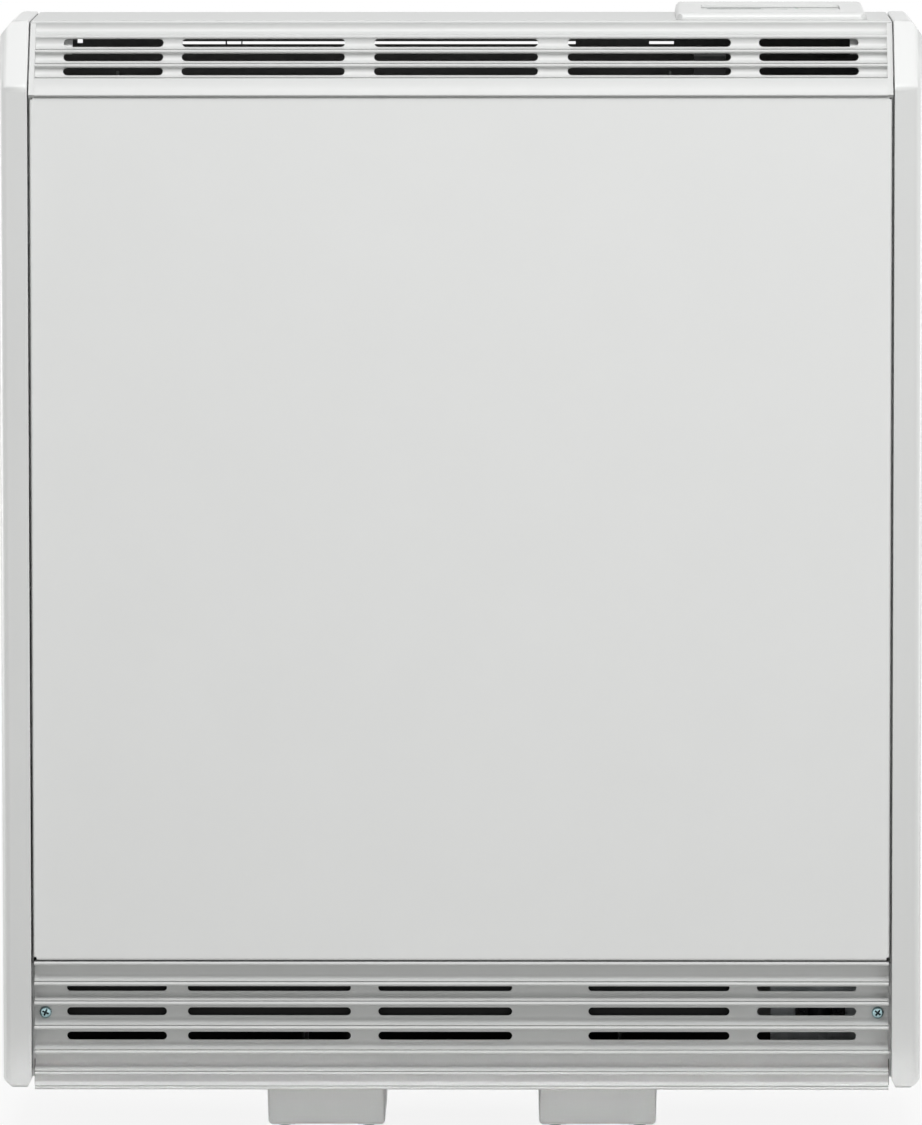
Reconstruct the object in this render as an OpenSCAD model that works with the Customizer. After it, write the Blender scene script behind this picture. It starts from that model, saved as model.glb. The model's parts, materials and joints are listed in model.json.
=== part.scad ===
// Slim wall-side storage heater: a white steel and plastic casing round a brick heat store.
// X runs to the viewer's right, Y towards the wall and Z up. The origin is on the floor, in the middle of
// the width and depth.

/* [Body] */
// Overall width across the two side cheeks
body_w = 582; // [480:1:760]
// Height of the cheeks' top above the floor
body_h = 707; // [580:1:860]
// Depth from the cheeks' front face to the wall
body_d = 150; // [125:1:200]
// Height of the casing's underside above the floor
ground_gap = 31; // [20:1:50]
// Gap that the wall spacers keep behind the back panel
wall_gap = 8; // [5:1:20]

/* [Sheet metal] */
// Thickness of every folded sheet
sheet = 1; // [0.7:0.1:1.5]
// Outer bend radius of the white sheets
bend_r = 1.6; // [1.5:0.1:3]
// Clearance between seated sheets and mouldings
seat = 0.3; // [0.1:0.1:0.5]

/* [Side cheeks] */
// Width of a cheek, seen from the front
cheek_w = 18.2; // [14:0.1:26]
// Wall of the cheek moulding
cheek_wall = 2.2; // [1.5:0.1:3]
// Rounding of the outer front edge
cheek_edge_r = 5.5; // [3:0.5:8]
// Width of the chamfer at the outer top corner
top_chamfer_w = 7.5; // [4:0.5:9]
// Height of the chamfer at the outer top corner
top_chamfer_h = 9.5; // [6:0.5:12]
// Width of the cut at the outer bottom corner
foot_cut_w = 6; // [3:0.5:7]
// Height of the cut at the outer bottom corner
foot_cut_h = 5; // [3:0.5:8]
// Rounding of the outer corners' cuts
corner_r = 5; // [2:0.5:6]
// Width of the cut at the inner bottom corner
inner_cut_w = 2.8; // [1:0.1:4]
// Height of the cut at the inner bottom corner
inner_cut_h = 5.5; // [3:0.5:8]
// How far the cheeks stand proud of the outlet grille
cheek_proud = 2.7; // [1:0.1:4]

/* [Front panel] */
// Gap between panel and cheek
panel_gap = 1.3; // [0.8:0.1:2]
// How far the panel's face lies behind the cheeks' front
panel_inset = 2; // [1:0.1:4]
// Depth of the folded returns
panel_return = 14; // [8:1:20]
// Size of the relief notch at each corner
corner_relief = 2; // [1.8:0.1:3]
// Gap above and below the panel
panel_joint = 1; // [0.5:0.1:2]

/* [Outlet grille] */
// Angle of the outlet slope from vertical
slope_angle = 38; // [30:1:45]
// Height of the sloping grille
grille_rise = 45.4; // [44:0.1:60]
// Wall of both grilles
grille_wall = 1.6; // [1.2:0.1:2]
// Distance from one flute to the next along the slope
flute_pitch = 10.9; // [10.5:0.1:12]
// Width of a flute
flute_w = 7.4; // [6:0.1:8]
// Depth of a flute
flute_depth = 2; // [1:0.1:2.5]
// Width of the rounded rib between flutes
rib_w = 2.3; // [1:0.1:3]
// Height of a slot along the slope
outlet_slot_h = 5.45; // [4:0.05:6]
// Plain border at each end of the grille
end_border = 3.4; // [2:0.1:6]
// Bars between the five outlet slots, left to right
outlet_bars = [11.7, 18.5, 18.7, 17.7];
// Relative widths of the five outlet slots, left to right
outlet_shares = [62.9, 102.8, 103.2, 102.9, 62.7];
// Distance from a grille's end to its first and last slot
slot_margin = 21.3; // [15:0.1:30]

/* [Intake grille] */
// Height of the intake grille
intake_h = 81.7; // [80:0.1:100]
// Height of its front lip below the casing's underside
intake_drop = 1.5; // [0:0.1:4]
// Depth of the grille's wall behind the rib noses
intake_recess = 9; // [6:0.5:12]
// Thickness of a rib
intake_rib = 2.5; // [2:0.1:3]
// Distance from one slotted rib to the next
intake_pitch = 15.65; // [14:0.05:18]
// Height of an intake slot
intake_slot_h = 5.2; // [4:0.1:6]
// Height of the slots in the top row, which sit close under a rib
top_slot_h = 4.2; // [3:0.1:5]
// Radius of the wall's curve down to each rib
cove_r = 6; // [2:0.5:8]
// Bars between the five intake slots, left to right
intake_bars = [13.3, 17.4, 48.4, 17.4];
// Relative widths of the five intake slots, left to right
intake_shares = [63.5, 103.7, 85.1, 89.7, 63.1];

/* [Control pod] */
// Width of the pod
pod_w = 120.5; // [110:0.5:140]
// Length of the pod, front to back
pod_l = 101; // [85:0.5:110]
// Height of the pod at its front
pod_front_h = 4.8; // [4.5:0.1:9]
// Height of the pod at its back
pod_back_h = 7.3; // [7:0.1:12]
// Distance from the pod's right side to the cheek
pod_margin = 16.3; // [8:0.1:30]
// Wall of the pod
pod_wall = 1.8; // [1.2:0.1:2.2]
// Rounding of the pod's corners, seen from above
pod_corner_r = 7; // [4:0.5:10]
// Rounding along the pod's top edges
pod_edge_r = 4.2; // [2.5:0.1:4.5]
// How much the pod's sides lean inwards, per height
pod_lean = 0.25; // [0:0.05:0.4]
// Width of the sunken fascia
fascia_w = 88; // [88:0.5:95]
// Length of the sunken fascia
fascia_l = 41; // [40:0.5:45]
// Width of the display window
window_w = 34; // [25:0.5:36]
// Length of the display window
window_l = 15; // [10:0.5:16]
// Gap between the fascia and the pod's opening
fascia_fit = 0.1; // [0.05:0.05:0.3]
// Radius of a button cap
button_r = 3.6; // [3:0.1:4]
// Distance between buttons
button_pitch = 15; // [12:0.5:17]
// Height of a button above the fascia
button_proud = 0.6; // [0.4:0.1:1.5]
// Travel of a button
button_travel = 0.8; // [0.3:0.1:1]

/* [Heat store] */
// Thickness of the front and back insulation
insulation_t = 22; // [15:0.5:30]
// Thickness of the insulation at the store's ends
end_insulation_t = 24; // [18:0.5:35]
// Thickness of the insulation below the bricks
base_insulation_t = 30; // [20:0.5:40]
// Thickness of the insulation above the bricks
top_insulation_t = 29; // [20:0.5:40]
// Height of the rails that carry the store
rail_h = 34; // [25:0.5:45]
// Joint between two bricks
brick_gap = 0.4; // [0.1:0.1:1]
// Space from the cheeks' front face to the core case
front_space = 22; // [20:0.5:30]
// Air gap behind the core case
back_space = 8; // [5:0.5:15]
// Air gap at the left of the core case
left_space = 9.8; // [6:0.1:20]
// Width of the electrical bay at the right
bay_w = 95.8; // [90:0.1:120]
// Space between the core case and the body's top
head_room = 44; // [40:0.5:60]
// Radius of a heating element's sheath
element_r = 4; // [3:0.1:5]
// Distance between a hairpin's two legs
leg_pitch = 30; // [20:0.5:32]
// Clearance round elements and probes in the bricks
element_fit = 0.5; // [0.3:0.1:1]
// Width of an air duct in a brick's face
duct_w = 44; // [30:1:50]
// Depth of an air duct
duct_d = 8; // [5:0.5:9]

/* [Outlet damper] */
// Front-to-back length of the flap
flap_l = 24; // [20:0.5:26]
// Radius of the damper's shaft
shaft_r = 2.5; // [2:0.1:3]
// Running clearance of shafts and plungers
run_fit = 0.05; // [0.02:0.01:0.09]
// Height of the plunger above the shaft
crank_reach = 10; // [8:0.5:12]
// Widest opening angle of the flap
flap_open = 40; // [20:1:45]

/* [Feet] */
// Distance between the feet's middles
foot_pitch = 173; // [140:1:400]
// Width of a foot at its top
foot_w = 76; // [50:0.5:120]
// Length of a foot, front to back
foot_l = 86; // [60:1:95]
// Distance from the cheeks' front to a foot's front
foot_setback = 40; // [25:1:45]
// Wall of a foot cover
foot_wall = 2; // [1.5:0.1:3]
// How much narrower a foot is at the floor, each side
foot_taper = 0.8; // [0:0.1:3]
// Radius of a foot pad
pad_r = 5; // [3:0.5:7]

/* [Fixings] */
// Distance between the two wall fixings
wall_pitch = 450; // [300:1:460]
// Radius of a wall-fixing hole
wall_hole_r = 3.5; // [2.5:0.1:5]
// Radius of the cable inlet
cable_r = 5; // [3.5:0.1:6]
// Radius of a grille screw's head
screw_head_r = 3.8; // [3:0.1:3.8]
// Radius of a grille screw's shank
screw_r = 2.1; // [1.5:0.1:2.4]

/* [Hidden] */
$fn = 48;
cut = 1; // how far a cutting solid runs past what it cuts

white = "#ebecea";
steel = "#aeb2b3";
dark = "#3b3d3f";

// Depth planes
front_y = -body_d / 2;
wall_y = body_d / 2;
back_y = wall_y - wall_gap;
panel_y = front_y + panel_inset;
case_y0 = front_y + front_space;
case_y1 = back_y - sheet - back_space;
core_y0 = case_y0 + sheet + insulation_t;
core_y1 = case_y1 - sheet - insulation_t;
core_y = (core_y0 + core_y1) / 2;

// Width planes
cheek_x = body_w / 2 - cheek_w;
plate_x = cheek_x - sheet;
grille_x = cheek_x - 0.8;
panel_x = cheek_x - panel_gap;
case_x0 = -plate_x + left_space;
case_x1 = plate_x - bay_w;
core_x0 = case_x0 + sheet + end_insulation_t;
core_x1 = case_x1 - sheet - end_insulation_t;
pod_x = cheek_x - pod_margin - pod_w / 2;

// Height planes
base_z = ground_gap;
tray_z = base_z + sheet;
case_z0 = tray_z + rail_h;
case_z1 = body_h - head_room;
core_z0 = case_z0 + sheet + base_insulation_t;
core_z1 = case_z1 - sheet - top_insulation_t;
cover_z = body_h - 0.4;
cover_return = 8;
cover_fold = 2.6; // depth of the top cover's short front fold
cover_half = cheek_x - 0.6;
grille_z = body_h - grille_rise;
intake_z0 = base_z - intake_drop;
intake_z1 = intake_z0 + intake_h;
panel_z0 = intake_z1 + panel_joint;
panel_z1 = grille_z - panel_joint;

// Outlet slope: the grille's front edge, and where it meets the top
grille_y = front_y + 0.4;
slope_run = grille_rise * tan(slope_angle);
slope_len = grille_rise / cos(slope_angle);
cover_y = grille_y + slope_run + 0.3;
bend_z = grille_z + cheek_proud / sin(slope_angle);

// Bricks, elements and ducts
brick_rows = 4;
brick_w = (core_x1 - core_x0) / 2;
brick_h = (core_z1 - core_z0) / brick_rows;
duct_offset = brick_w / 4;
duct_centres = [for (b = [0, 1]) for (s = [-1, 1]) core_x0 + (b + 0.5) * brick_w + s * duct_offset];
hairpin_x0 = core_x0 + 30;
hairpin_x1 = case_x1 + 14;
probe_z = core_z0 + 1.5 * brick_h;
probe_r = 2.5;

// Damper
hinge_y = core_y0 + duct_d + 10;
hinge_z = case_z1 + 4.2;
flap_x0 = duct_centres[0] - duct_w / 2 - 6;
flap_x1 = duct_centres[3] + duct_w / 2 + 6;
ear_t = 1.5;
hem_r = 3.5;
crank_x = flap_x1 + 25;
crank_t = 3;
crank_half = 2;
plunger_r = 2;
plunger_z = hinge_z + crank_reach;
plunger_y = hinge_y - crank_half - seat;
plunger_stroke = 0.78 * crank_reach * flap_open * PI / 180; // the push that opens the flap
plunger_guide = 9.6;
actuator_l = plunger_stroke + plunger_guide + 5;
actuator_w = 20;
actuator_h = 18;
actuator_y = plunger_y - 9.7;

// Pod
pod_y0 = front_y + 38;
fascia_y = pod_y0 + 47.5;
fascia_z = cover_z + 4.6;
fascia_t = 1.6;
fascia_r = 3;
hollow_w = fascia_w - 4;
hollow_l = fascia_l - 4;
window_x = pod_x - fascia_w / 2 + 4 + window_w / 2;
window_y = fascia_y + fascia_l / 2 - 4 - window_l / 2;
lens_x = pod_x + 17;
lens_y = fascia_y + 13;
button_y = fascia_y - 10;
button_x0 = pod_x - 1.5 * button_pitch;
tray_floor_z = cover_z - 12.6;
board_z = cover_z - 6.6;
board_t = 1.6;
switch_h = 3.4;

// Feet
cover_floor_z = 0.8;
pad_recess = 0.7;
leg_w = foot_w - 14;
leg_l = foot_l - 12;

// Intake grille: heights of its ribs' middles, from the bottom up
low_rib_z = intake_z0 + 10.1;
noses = [for (i = [0 : 2]) intake_z0 + 23.6 + i * intake_pitch];
top_nose = noses[2] + 12.5;

// Fixings
wall_fix_z = body_h - 12;
screw_x = grille_x - 7.7;
screw_z = noses[2] - 6.5;
intake_y = panel_y - 0.5;
intake_wall_y = intake_y + intake_recess;
flange_y = intake_wall_y + grille_wall;
inlet_x = plate_x - 41;
inlet_y = back_y - 15;
bracket_y = inlet_y + 8;

// --- helpers -------------------------------------------------------------------------------------

// Points of the arc that rounds corner b, between its neighbours a and c
function corner(a, b, c, r, n = 6) = r <= 0 ? [b] :
    let (u = (a - b) / norm(a - b), v = (c - b) / norm(c - b), half = acos(u * v) / 2,
        o = b + (u + v) / norm(u + v) * r / sin(half), p = b + u * r / tan(half),
        q = b + v * r / tan(half), a0 = atan2(p[1] - o[1], p[0] - o[0]),
        d = atan2(q[1] - o[1], q[0] - o[0]) - a0, turn = d > 180 ? d - 360 : d < -180 ? d + 360 : d)
    [for (i = [0 : n]) o + r * [cos(a0 + turn * i / n), sin(a0 + turn * i / n)]];

// Outline through [x, y, radius] corners
function rounded(pts, n = 6) = let (m = len(pts), xy = [for (p = pts) [p[0], p[1]]])
    [for (i = [0 : m - 1]) each corner(xy[(i + m - 1) % m], xy[i], xy[(i + 1) % m], pts[i][2], n)];

// Sum of the first n values
function upto(v, n) = n <= 0 ? 0 : v[n - 1] + upto(v, n - 1);

// Y of the outlet slope's plane, moved inwards by i, at height z
function slope_y(z, i) = grille_y + (z - grille_z) * tan(slope_angle) + i / cos(slope_angle);

// Left and right end of each slot in a row between x0 and x1
function slot_ends(x0, x1, shares, bars) =
    let (free = x1 - x0 - upto(bars, len(bars)), unit = free / upto(shares, len(shares)))
    [for (i = [0 : len(shares) - 1]) let (a = x0 + upto(shares, i) * unit + upto(bars, i))
        [a, a + shares[i] * unit]];

// Runs a [y, z] profile along X from x0 to x1
module along_x(x0, x1) translate([x0, 0, 0]) rotate([90, 0, 90]) linear_extrude(x1 - x0) children();

// Runs an [x, z] profile along Y from y0 to y1
module along_y(y0, y1) translate([0, y1, 0]) rotate([90, 0, 0]) linear_extrude(y1 - y0) children();

module block(x0, x1, y0, y1, z0, z1) translate([x0, y0, z0]) cube([x1 - x0, y1 - y0, z1 - z0]);

module rod_x(x0, x1, y, z, r) translate([x0, y, z]) rotate([0, 90, 0]) cylinder(h = x1 - x0, r = r);

module rod_y(x, y0, y1, z, r) translate([x, y0, z]) rotate([-90, 0, 0]) cylinder(h = y1 - y0, r = r);

module rod_z(x, y, z0, z1, r) translate([x, y, z0]) cylinder(h = z1 - z0, r = r);

module round_rect(w, l, r) polygon(rounded([[-w / 2, -l / 2, r], [w / 2, -l / 2, r],
    [w / 2, l / 2, r], [-w / 2, l / 2, r]]));

// Slot with full-round ends, h high, between x0 and x1
module slot_2d(x0, x1, h) {
    translate([x0 + h / 2, -h / 2]) square([x1 - x0 - h, h]);
    for (x = [x0 + h / 2, x1 - h / 2]) translate([x, 0]) circle(h / 2);
}

// Shallow folded tray with its face at z = 0 and its returns below
module folded_tray(w, l, depth, t, r) {
    difference() {
        tray_form(w, l, depth, r);
        translate([0, 0, -t]) tray_form(w - 2 * t, l - 2 * t, depth, max(r - t, 0.1));
    }
}

module tray_form(w, l, depth, r) intersection() {
    rotate([90, 0, 0]) linear_extrude(l, center = true) tray_profile(w, depth, r);
    rotate([90, 0, 90]) linear_extrude(w, center = true) tray_profile(l, depth, r);
}

module tray_profile(w, depth, r) polygon(rounded([[-w / 2, -depth, 0], [w / 2, -depth, 0],
    [w / 2, 0, r], [-w / 2, 0, r]]));

// --- casing --------------------------------------------------------------------------------------

module front_panel() color(white) {
    w = 2 * panel_x;
    l = panel_z1 - panel_z0;
    translate([0, panel_y, (panel_z0 + panel_z1) / 2]) rotate([90, 0, 0]) difference() {
        folded_tray(w, l, panel_return, sheet, bend_r);
        for (x = [-1, 1]) for (y = [-1, 1])
            translate([x * w / 2, y * l / 2, -panel_return / 2])
                cube([2 * corner_relief, 2 * corner_relief, panel_return + 2 * cut], center = true);
    }
}

// The outlet slope's own frame: x into the body, y up the slope
module on_slope() translate([grille_y, grille_z]) rotate(-slope_angle) children();

flute_r = (pow(flute_w / 2, 2) + pow(flute_depth, 2)) / (2 * flute_depth);
flute_1 = 18.1;
flute_centres = [for (i = [0 : 2]) flute_1 + i * flute_pitch];
top_flute = flute_centres[2] + flute_pitch - 0.9;
band_centre = 7.05;
band_w = 10.9;
band_bulge = 0.45;
band_r = (pow(band_w / 2, 2) + pow(band_bulge, 2)) / (2 * band_bulge);

module grille_section() difference() {
    union() {
        square([grille_wall, slope_len]);
        for (q = concat(flute_centres, top_flute)) translate([flute_depth - flute_r, q])
            intersection() {
                circle(flute_r + grille_wall);
                translate([flute_r - flute_depth, -flute_pitch / 2])
                    square([flute_depth + grille_wall, flute_pitch]);
            }
        for (i = [0 : 1]) translate([0, (flute_centres[i] + flute_centres[i + 1]) / 2])
            circle(rib_w / 2);
        translate([0, flute_centres[2] + flute_pitch / 2 - 0.6]) circle(rib_w / 4);
        translate([0, 0.8]) circle(0.8);
        intersection() {
            translate([band_r - band_bulge, band_centre]) circle(band_r, $fn = 180);
            translate([-band_bulge, band_centre - band_w / 2]) square([band_bulge + cut, band_w]);
        }
    }
    for (q = concat(flute_centres, top_flute)) translate([flute_depth - flute_r, q]) circle(flute_r);
    translate([-cut, band_centre + band_w / 2 + 0.5]) square([cut + 0.6, 0.8]);
}

outlet_slots = slot_ends(-grille_x + slot_margin, grille_x - slot_margin, outlet_shares, outlet_bars);
outlet_slot_rise = 1.35; // how far a slot's middle lies above its flute's middle

module upper_grille() color(white) difference() {
    union() {
        along_x(-grille_x + end_border, grille_x - end_border) on_slope() grille_section();
        for (s = [-1, 1]) translate([s * (grille_x - end_border / 2), 0, 0])
            along_x(-end_border / 2, end_border / 2) on_slope()
                square([flute_depth + grille_wall, slope_len]);
        // returns: one behind the front panel's top edge, one under the top cover
        block(-grille_x, grille_x, grille_y + 1, grille_y + panel_return, grille_z, grille_z + grille_wall);
        block(-cover_half + 2 * sheet, cover_half - 2 * sheet, cover_y - 3, cover_y + 8,
            cover_z - cover_fold - 0.2 - grille_wall, cover_z - cover_fold - 0.2);
    }
    for (q = flute_centres) for (s = outlet_slots)
        translate([0, grille_y, grille_z]) rotate([-slope_angle, 0, 0])
            translate([0, 0, q + outlet_slot_rise]) rotate([90, 0, 0])
                linear_extrude(24, center = true) slot_2d(s[0], s[1], outlet_slot_h);
    // trims the ends of the slope: under the cover's fold, at its top and at the front panel's edge
    w = grille_x + cut;
    block(-w, w, cover_y - 0.2, cover_y + 10, cover_z - cover_fold - 0.2, body_h + 10);
    block(-w, w, front_y, cover_y + 10, cover_z, body_h + 10);
    block(-w, w, front_y - 5, cover_y, grille_z - 5, grille_z);
}

groove_h = 0.5; // groove between a rib and the wall's lip above it
lip_t = 0.35;
top_wall_y = intake_wall_y - 2.5; // the top bay is shallower
low_wall_y = intake_y + 3; // and so is the lowest
low_rib = 2.1;
low_lip = 1.8;

// A wall that curves forward from plane y = back to a lip, over a groove whose floor is at z
module cove(z, back, top, lip, r) {
    lip_z = z + groove_h + lip_t;
    polygon(concat([[back, top]],
        corner([back, top], [back, lip_z + 1.5], [lip, lip_z], min(r, 1.3 * (back - lip))),
        [[lip, lip_z], [lip, z + groove_h], [lip + 1.2, z - 0.1], [back + 0.5, z - 0.1],
            [back + 0.5, top]]));
}

module intake_walls() {
    translate([intake_wall_y, low_rib_z + 8]) square([grille_wall, intake_z1 - low_rib_z - 10]);
    for (z = noses) cove(z + intake_rib / 2, intake_wall_y, z + 10, intake_y + 2, cove_r);
    translate([top_wall_y, top_nose + 3]) square([grille_wall + 2.5, intake_z1 - top_nose - 5]);
    cove(top_nose + intake_rib / 2, top_wall_y, intake_z1 - 3, intake_y + 2, cove_r);
    cove(low_rib_z + low_rib / 2, intake_wall_y, low_rib_z + 10, intake_y + 0.9, cove_r);
    translate([intake_y + 0.85, low_rib_z + low_rib / 2 + 1]) circle(0.45);
    translate([low_wall_y, intake_z0 + low_lip]) square([grille_wall, low_rib_z - intake_z0 - low_lip]);
    cove(intake_z0 + low_lip, low_wall_y, low_rib_z - 1, intake_y + 1, 2);
}

// A rib from the wall to its rounded nose, h high, with its middle at z
module intake_nose(z, h) {
    translate([intake_y + h / 2, z - h / 2]) square([flange_y - intake_y - h / 2, h]);
    translate([intake_y + h / 2, z]) circle(h / 2);
}

module intake_ribs() {
    for (z = concat(noses, top_nose, intake_z1 - intake_rib / 2)) intake_nose(z, intake_rib);
    intake_nose(low_rib_z, low_rib);
    intake_nose(intake_z0 + low_lip / 2, low_lip);
    translate([intake_wall_y, intake_z1 - 5]) square([grille_wall, 5]);
}

rib_inset = 0.6; // the ribs end this far inside the grille's width, and the walls a little further
wall_inset = 1.4;
slot_drop = 3.45; // from a rib's middle down to the top of the slots under it

// Middle and height of each row of intake slots
slot_rows = [for (z = [noses[1], noses[2]]) [z - slot_drop - intake_slot_h / 2, intake_slot_h],
    [top_nose - intake_rib / 2 - 0.1 - top_slot_h / 2, top_slot_h]];
intake_slots = slot_ends(-grille_x + slot_margin, grille_x - slot_margin, intake_shares, intake_bars);

module lower_grille() color(white) difference() {
    union() {
        along_x(-grille_x + rib_inset, grille_x - rib_inset) intake_ribs();
        along_x(-grille_x + wall_inset, grille_x - wall_inset) intake_walls();
    }
    for (row = slot_rows) for (s = intake_slots) translate([0, 0, row[0]])
        along_y(intake_wall_y - 1, flange_y + cut) slot_2d(s[0], s[1], row[1]);
    for (x = [-screw_x, screw_x]) {
        rod_y(x, intake_wall_y - cut, flange_y + cut, screw_z, screw_r + 0.15);
        // flat seat for the screw's head in the curved wall
        rod_y(x, intake_y + 2, intake_wall_y, screw_z, screw_head_r + seat);
    }
}

// Leg a of a chamfer whose other leg is b, when both of its corner's faces move in by i
function inner_leg(a, b, i) = a - i * (a + b - norm([a, b])) / b;

// Outer form of the right cheek, with its outer faces moved in by i
module cheek_form(i) {
    x0 = i > 0 ? cheek_x - cut : cheek_x;
    x1 = body_w / 2 - i;
    z0 = base_z + i;
    z1 = body_h - i;
    y0 = front_y + i;
    y1 = i > 0 ? wall_y - 2 * i : wall_y;
    zb = bend_z - i * tan(slope_angle / 2);
    y2 = y0 + (z1 - zb) * tan(slope_angle);
    edge = max(cheek_edge_r - i, 0.5);
    round_in = max(corner_r - i, 0.5);
    top_w_in = inner_leg(top_chamfer_w, top_chamfer_h, i);
    top_h_in = inner_leg(top_chamfer_h, top_chamfer_w, i);
    foot_w_in = inner_leg(foot_cut_w, foot_cut_h, i);
    foot_h_in = inner_leg(foot_cut_h, foot_cut_w, i);
    // the inner bottom cut, as a line moved in by i
    cut_l = norm([inner_cut_w, inner_cut_h]);
    cut_x = cheek_x + inner_cut_w + i * (cut_l - inner_cut_w) / inner_cut_h;
    cut_z = base_z + inner_cut_h * (1 + (cheek_x - x0) / inner_cut_w) + i * cut_l / inner_cut_w;
    intersection() {
        along_x(x0, x1) polygon(rounded([[y0, z0, 2], [y0, zb, 10], [y2, z1, 2.5], [y1, z1, 1],
            [y1, z0, 2]]));
        translate([0, 0, z0 - cut]) linear_extrude(z1 - z0 + 2 * cut)
            polygon(rounded([[x0, y0, i > 0 ? 0 : 0.8], [x1, y0, edge], [x1, y1, 1], [x0, y1, 0]]));
        along_y(y0 - cut, y1 + cut) polygon(rounded([[x0, cut_z, i > 0 ? 0 : 1],
            [cut_x, z0, i > 0 ? 0 : 1], [x1 - foot_w_in, z0, round_in], [x1, z0 + foot_h_in, round_in],
            [x1, z1 - top_h_in, round_in], [x1 - top_w_in, z1, round_in], [x0, z1, i > 0 ? 0 : 1.5]]));
        translate([0, y0, zb]) rotate([-slope_angle, 0, 0]) translate([0, 0, -body_h])
            linear_extrude(2 * body_h) polygon(rounded([[x0, 0, i > 0 ? 0 : 0.8], [x1, 0, edge],
                [x1, body_h + body_d, 0], [x0, body_h + body_d, 0]]));
    }
}

cheek_ribs = 5;
cheek_rib_t = 1.6;

module cheek() {
    difference() {
        cheek_form(0);
        cheek_form(cheek_wall);
    }
    // stiffening ribs across the inside
    for (k = [1 : cheek_ribs]) intersection() {
        z = base_z + k * (grille_z - base_z) / (cheek_ribs + 1);
        cheek_form(cheek_wall - 0.2);
        block(cheek_x + seat, body_w / 2, front_y, wall_y, z, z + cheek_rib_t);
    }
}

module right_cheek() color(white) cheek();

module left_cheek() color(white) mirror([1, 0, 0]) cheek();

module top_cover() color(white) difference() {
    translate([0, (cover_y + wall_y) / 2, cover_z]) difference() {
        folded_tray(2 * cover_half, wall_y - cover_y, cover_return, sheet, bend_r);
        // the front fold is short, so that it clears the outlet grille
        translate([0, -(wall_y - cover_y) / 2, -cover_return / 2 - cover_fold])
            cube([2 * cover_half + 2, 6, cover_return], center = true);
    }
    for (x = [-1, 1]) block(x * wall_pitch / 2 - 9, x * wall_pitch / 2 + 9, wall_y - 2 * sheet, wall_y + cut,
        cover_z - cover_return - cut, cover_z - 2.5);
    translate([pod_x, fascia_y, cover_z - 20]) linear_extrude(40) round_rect(hollow_w, hollow_l, 2);
}

slit_z = body_h - 19.8;
slit_h = 1.8;
square_hole = [[-247.3, -244], [-0.1, 2.9]]; // across, and up from the slits' middle
slits = [[-180, -152.3], [-151.3, -142.2], [-141.4, 72.5], [119.7, 135.5]];

module back_panel() color(steel) difference() {
    w = plate_x - 0.2;
    union() {
        block(-w, w, back_y - sheet, back_y, tray_z, cover_z - cover_return - 0.6);
        block(-w + 2, w - 2, back_y - sheet, back_y, tray_z, cover_z - sheet - seat);
        block(-w + 2, w - 2, back_y - 9, back_y, cover_z - 2 * sheet - seat, cover_z - sheet - seat);
    }
    for (x = [-1, 1]) rod_y(x * wall_pitch / 2, back_y - 2 * sheet, back_y + cut, wall_fix_z, wall_hole_r);
    for (s = slits)
        block(s[0], s[1], back_y - 2 * sheet, back_y + cut, slit_z - slit_h / 2, slit_z + slit_h / 2);
    block(square_hole[0][0], square_hole[0][1], back_y - 2 * sheet, back_y + cut,
        slit_z + square_hole[1][0], slit_z + square_hole[1][1]);
    // a row of vents near the floor
    for (k = [-4 : 4]) translate([k * 46, 0, base_z + 22]) along_y(back_y - 2 * sheet, back_y + cut)
        slot_2d(-17, 17, 5);
}

tray_flange = 15;
tray_x = plate_x - 0.2;
tray_y0 = flange_y + seat;
tray_y1 = back_y - sheet - 0.2;

module base_tray() color(steel) difference() {
    block(-tray_x, tray_x, tray_y0, tray_y1, base_z, tray_z + tray_flange);
    block(-tray_x + sheet, tray_x - sheet, tray_y0 + sheet, tray_y1 - sheet,
        tray_z, tray_z + tray_flange + cut);
    for (k = [-5 : 5]) if (abs(k * 40) > foot_pitch / 2 + foot_w / 2 + 12 || abs(k * 40) < 30)
        for (y = [-12, 12]) translate([k * 40, core_y + y, base_z - cut]) linear_extrude(sheet + 2 * cut)
            slot_2d(-15, 15, 6);
    rod_z(inlet_x, inlet_y, base_z - cut, tray_z + cut, cable_r + 4.2);
}

web_depth = 6; // how far the side plate's front edge lies inside the outlet slope
tab_reach = 26.4; // the tab behind each end of the outlet grille, and its ends along the slope
tab_q0 = 36;
tab_q1 = 49;

// Steel plate inside the right cheek: web, panel flange, intake flange and the outlet grille's tab
module side_plate() {
    top = cover_z - cover_return - seat;
    foot = base_z + inner_cut_h;
    y0 = panel_y + panel_return;
    z1 = grille_z + (y0 - grille_y - web_depth / cos(slope_angle)) / tan(slope_angle);
    slope_z = max(z1, panel_z1 - 1);
    difference() {
        union() {
            along_x(plate_x, cheek_x) polygon([[flange_y, foot], [back_y, foot], [back_y, top],
                [slope_y(top, web_depth), top], [slope_y(slope_z, web_depth), slope_z], [y0, slope_z],
                [y0, intake_z1 - 2], [flange_y, intake_z1 - 2]]);
            along_x(plate_x - tab_reach, plate_x + sheet / 2) on_slope() translate([web_depth, tab_q0])
                square([sheet, tab_q1 - tab_q0]);
            block(plate_x - 11, plate_x + sheet / 2, y0, y0 + sheet, intake_z1 + 1, slope_z);
            block(plate_x - 15, plate_x + sheet / 2, flange_y, flange_y + sheet,
                tray_z + tray_flange + 1, intake_z1 - 2);
        }
        rod_y(screw_x, flange_y - cut, flange_y + sheet + cut, screw_z, screw_r + run_fit);
        for (z = [0.3, 0.6]) translate([plate_x - cut, core_y, base_z + z * (body_h - base_z)])
            rotate([0, 90, 0]) linear_extrude(sheet + 2 * cut) slot_2d(-30, 30, 16);
    }
}

module right_side_plate() color(steel) side_plate();

module left_side_plate() color(steel) mirror([1, 0, 0]) side_plate();

// --- feet, fixings -------------------------------------------------------------------------------

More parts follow.
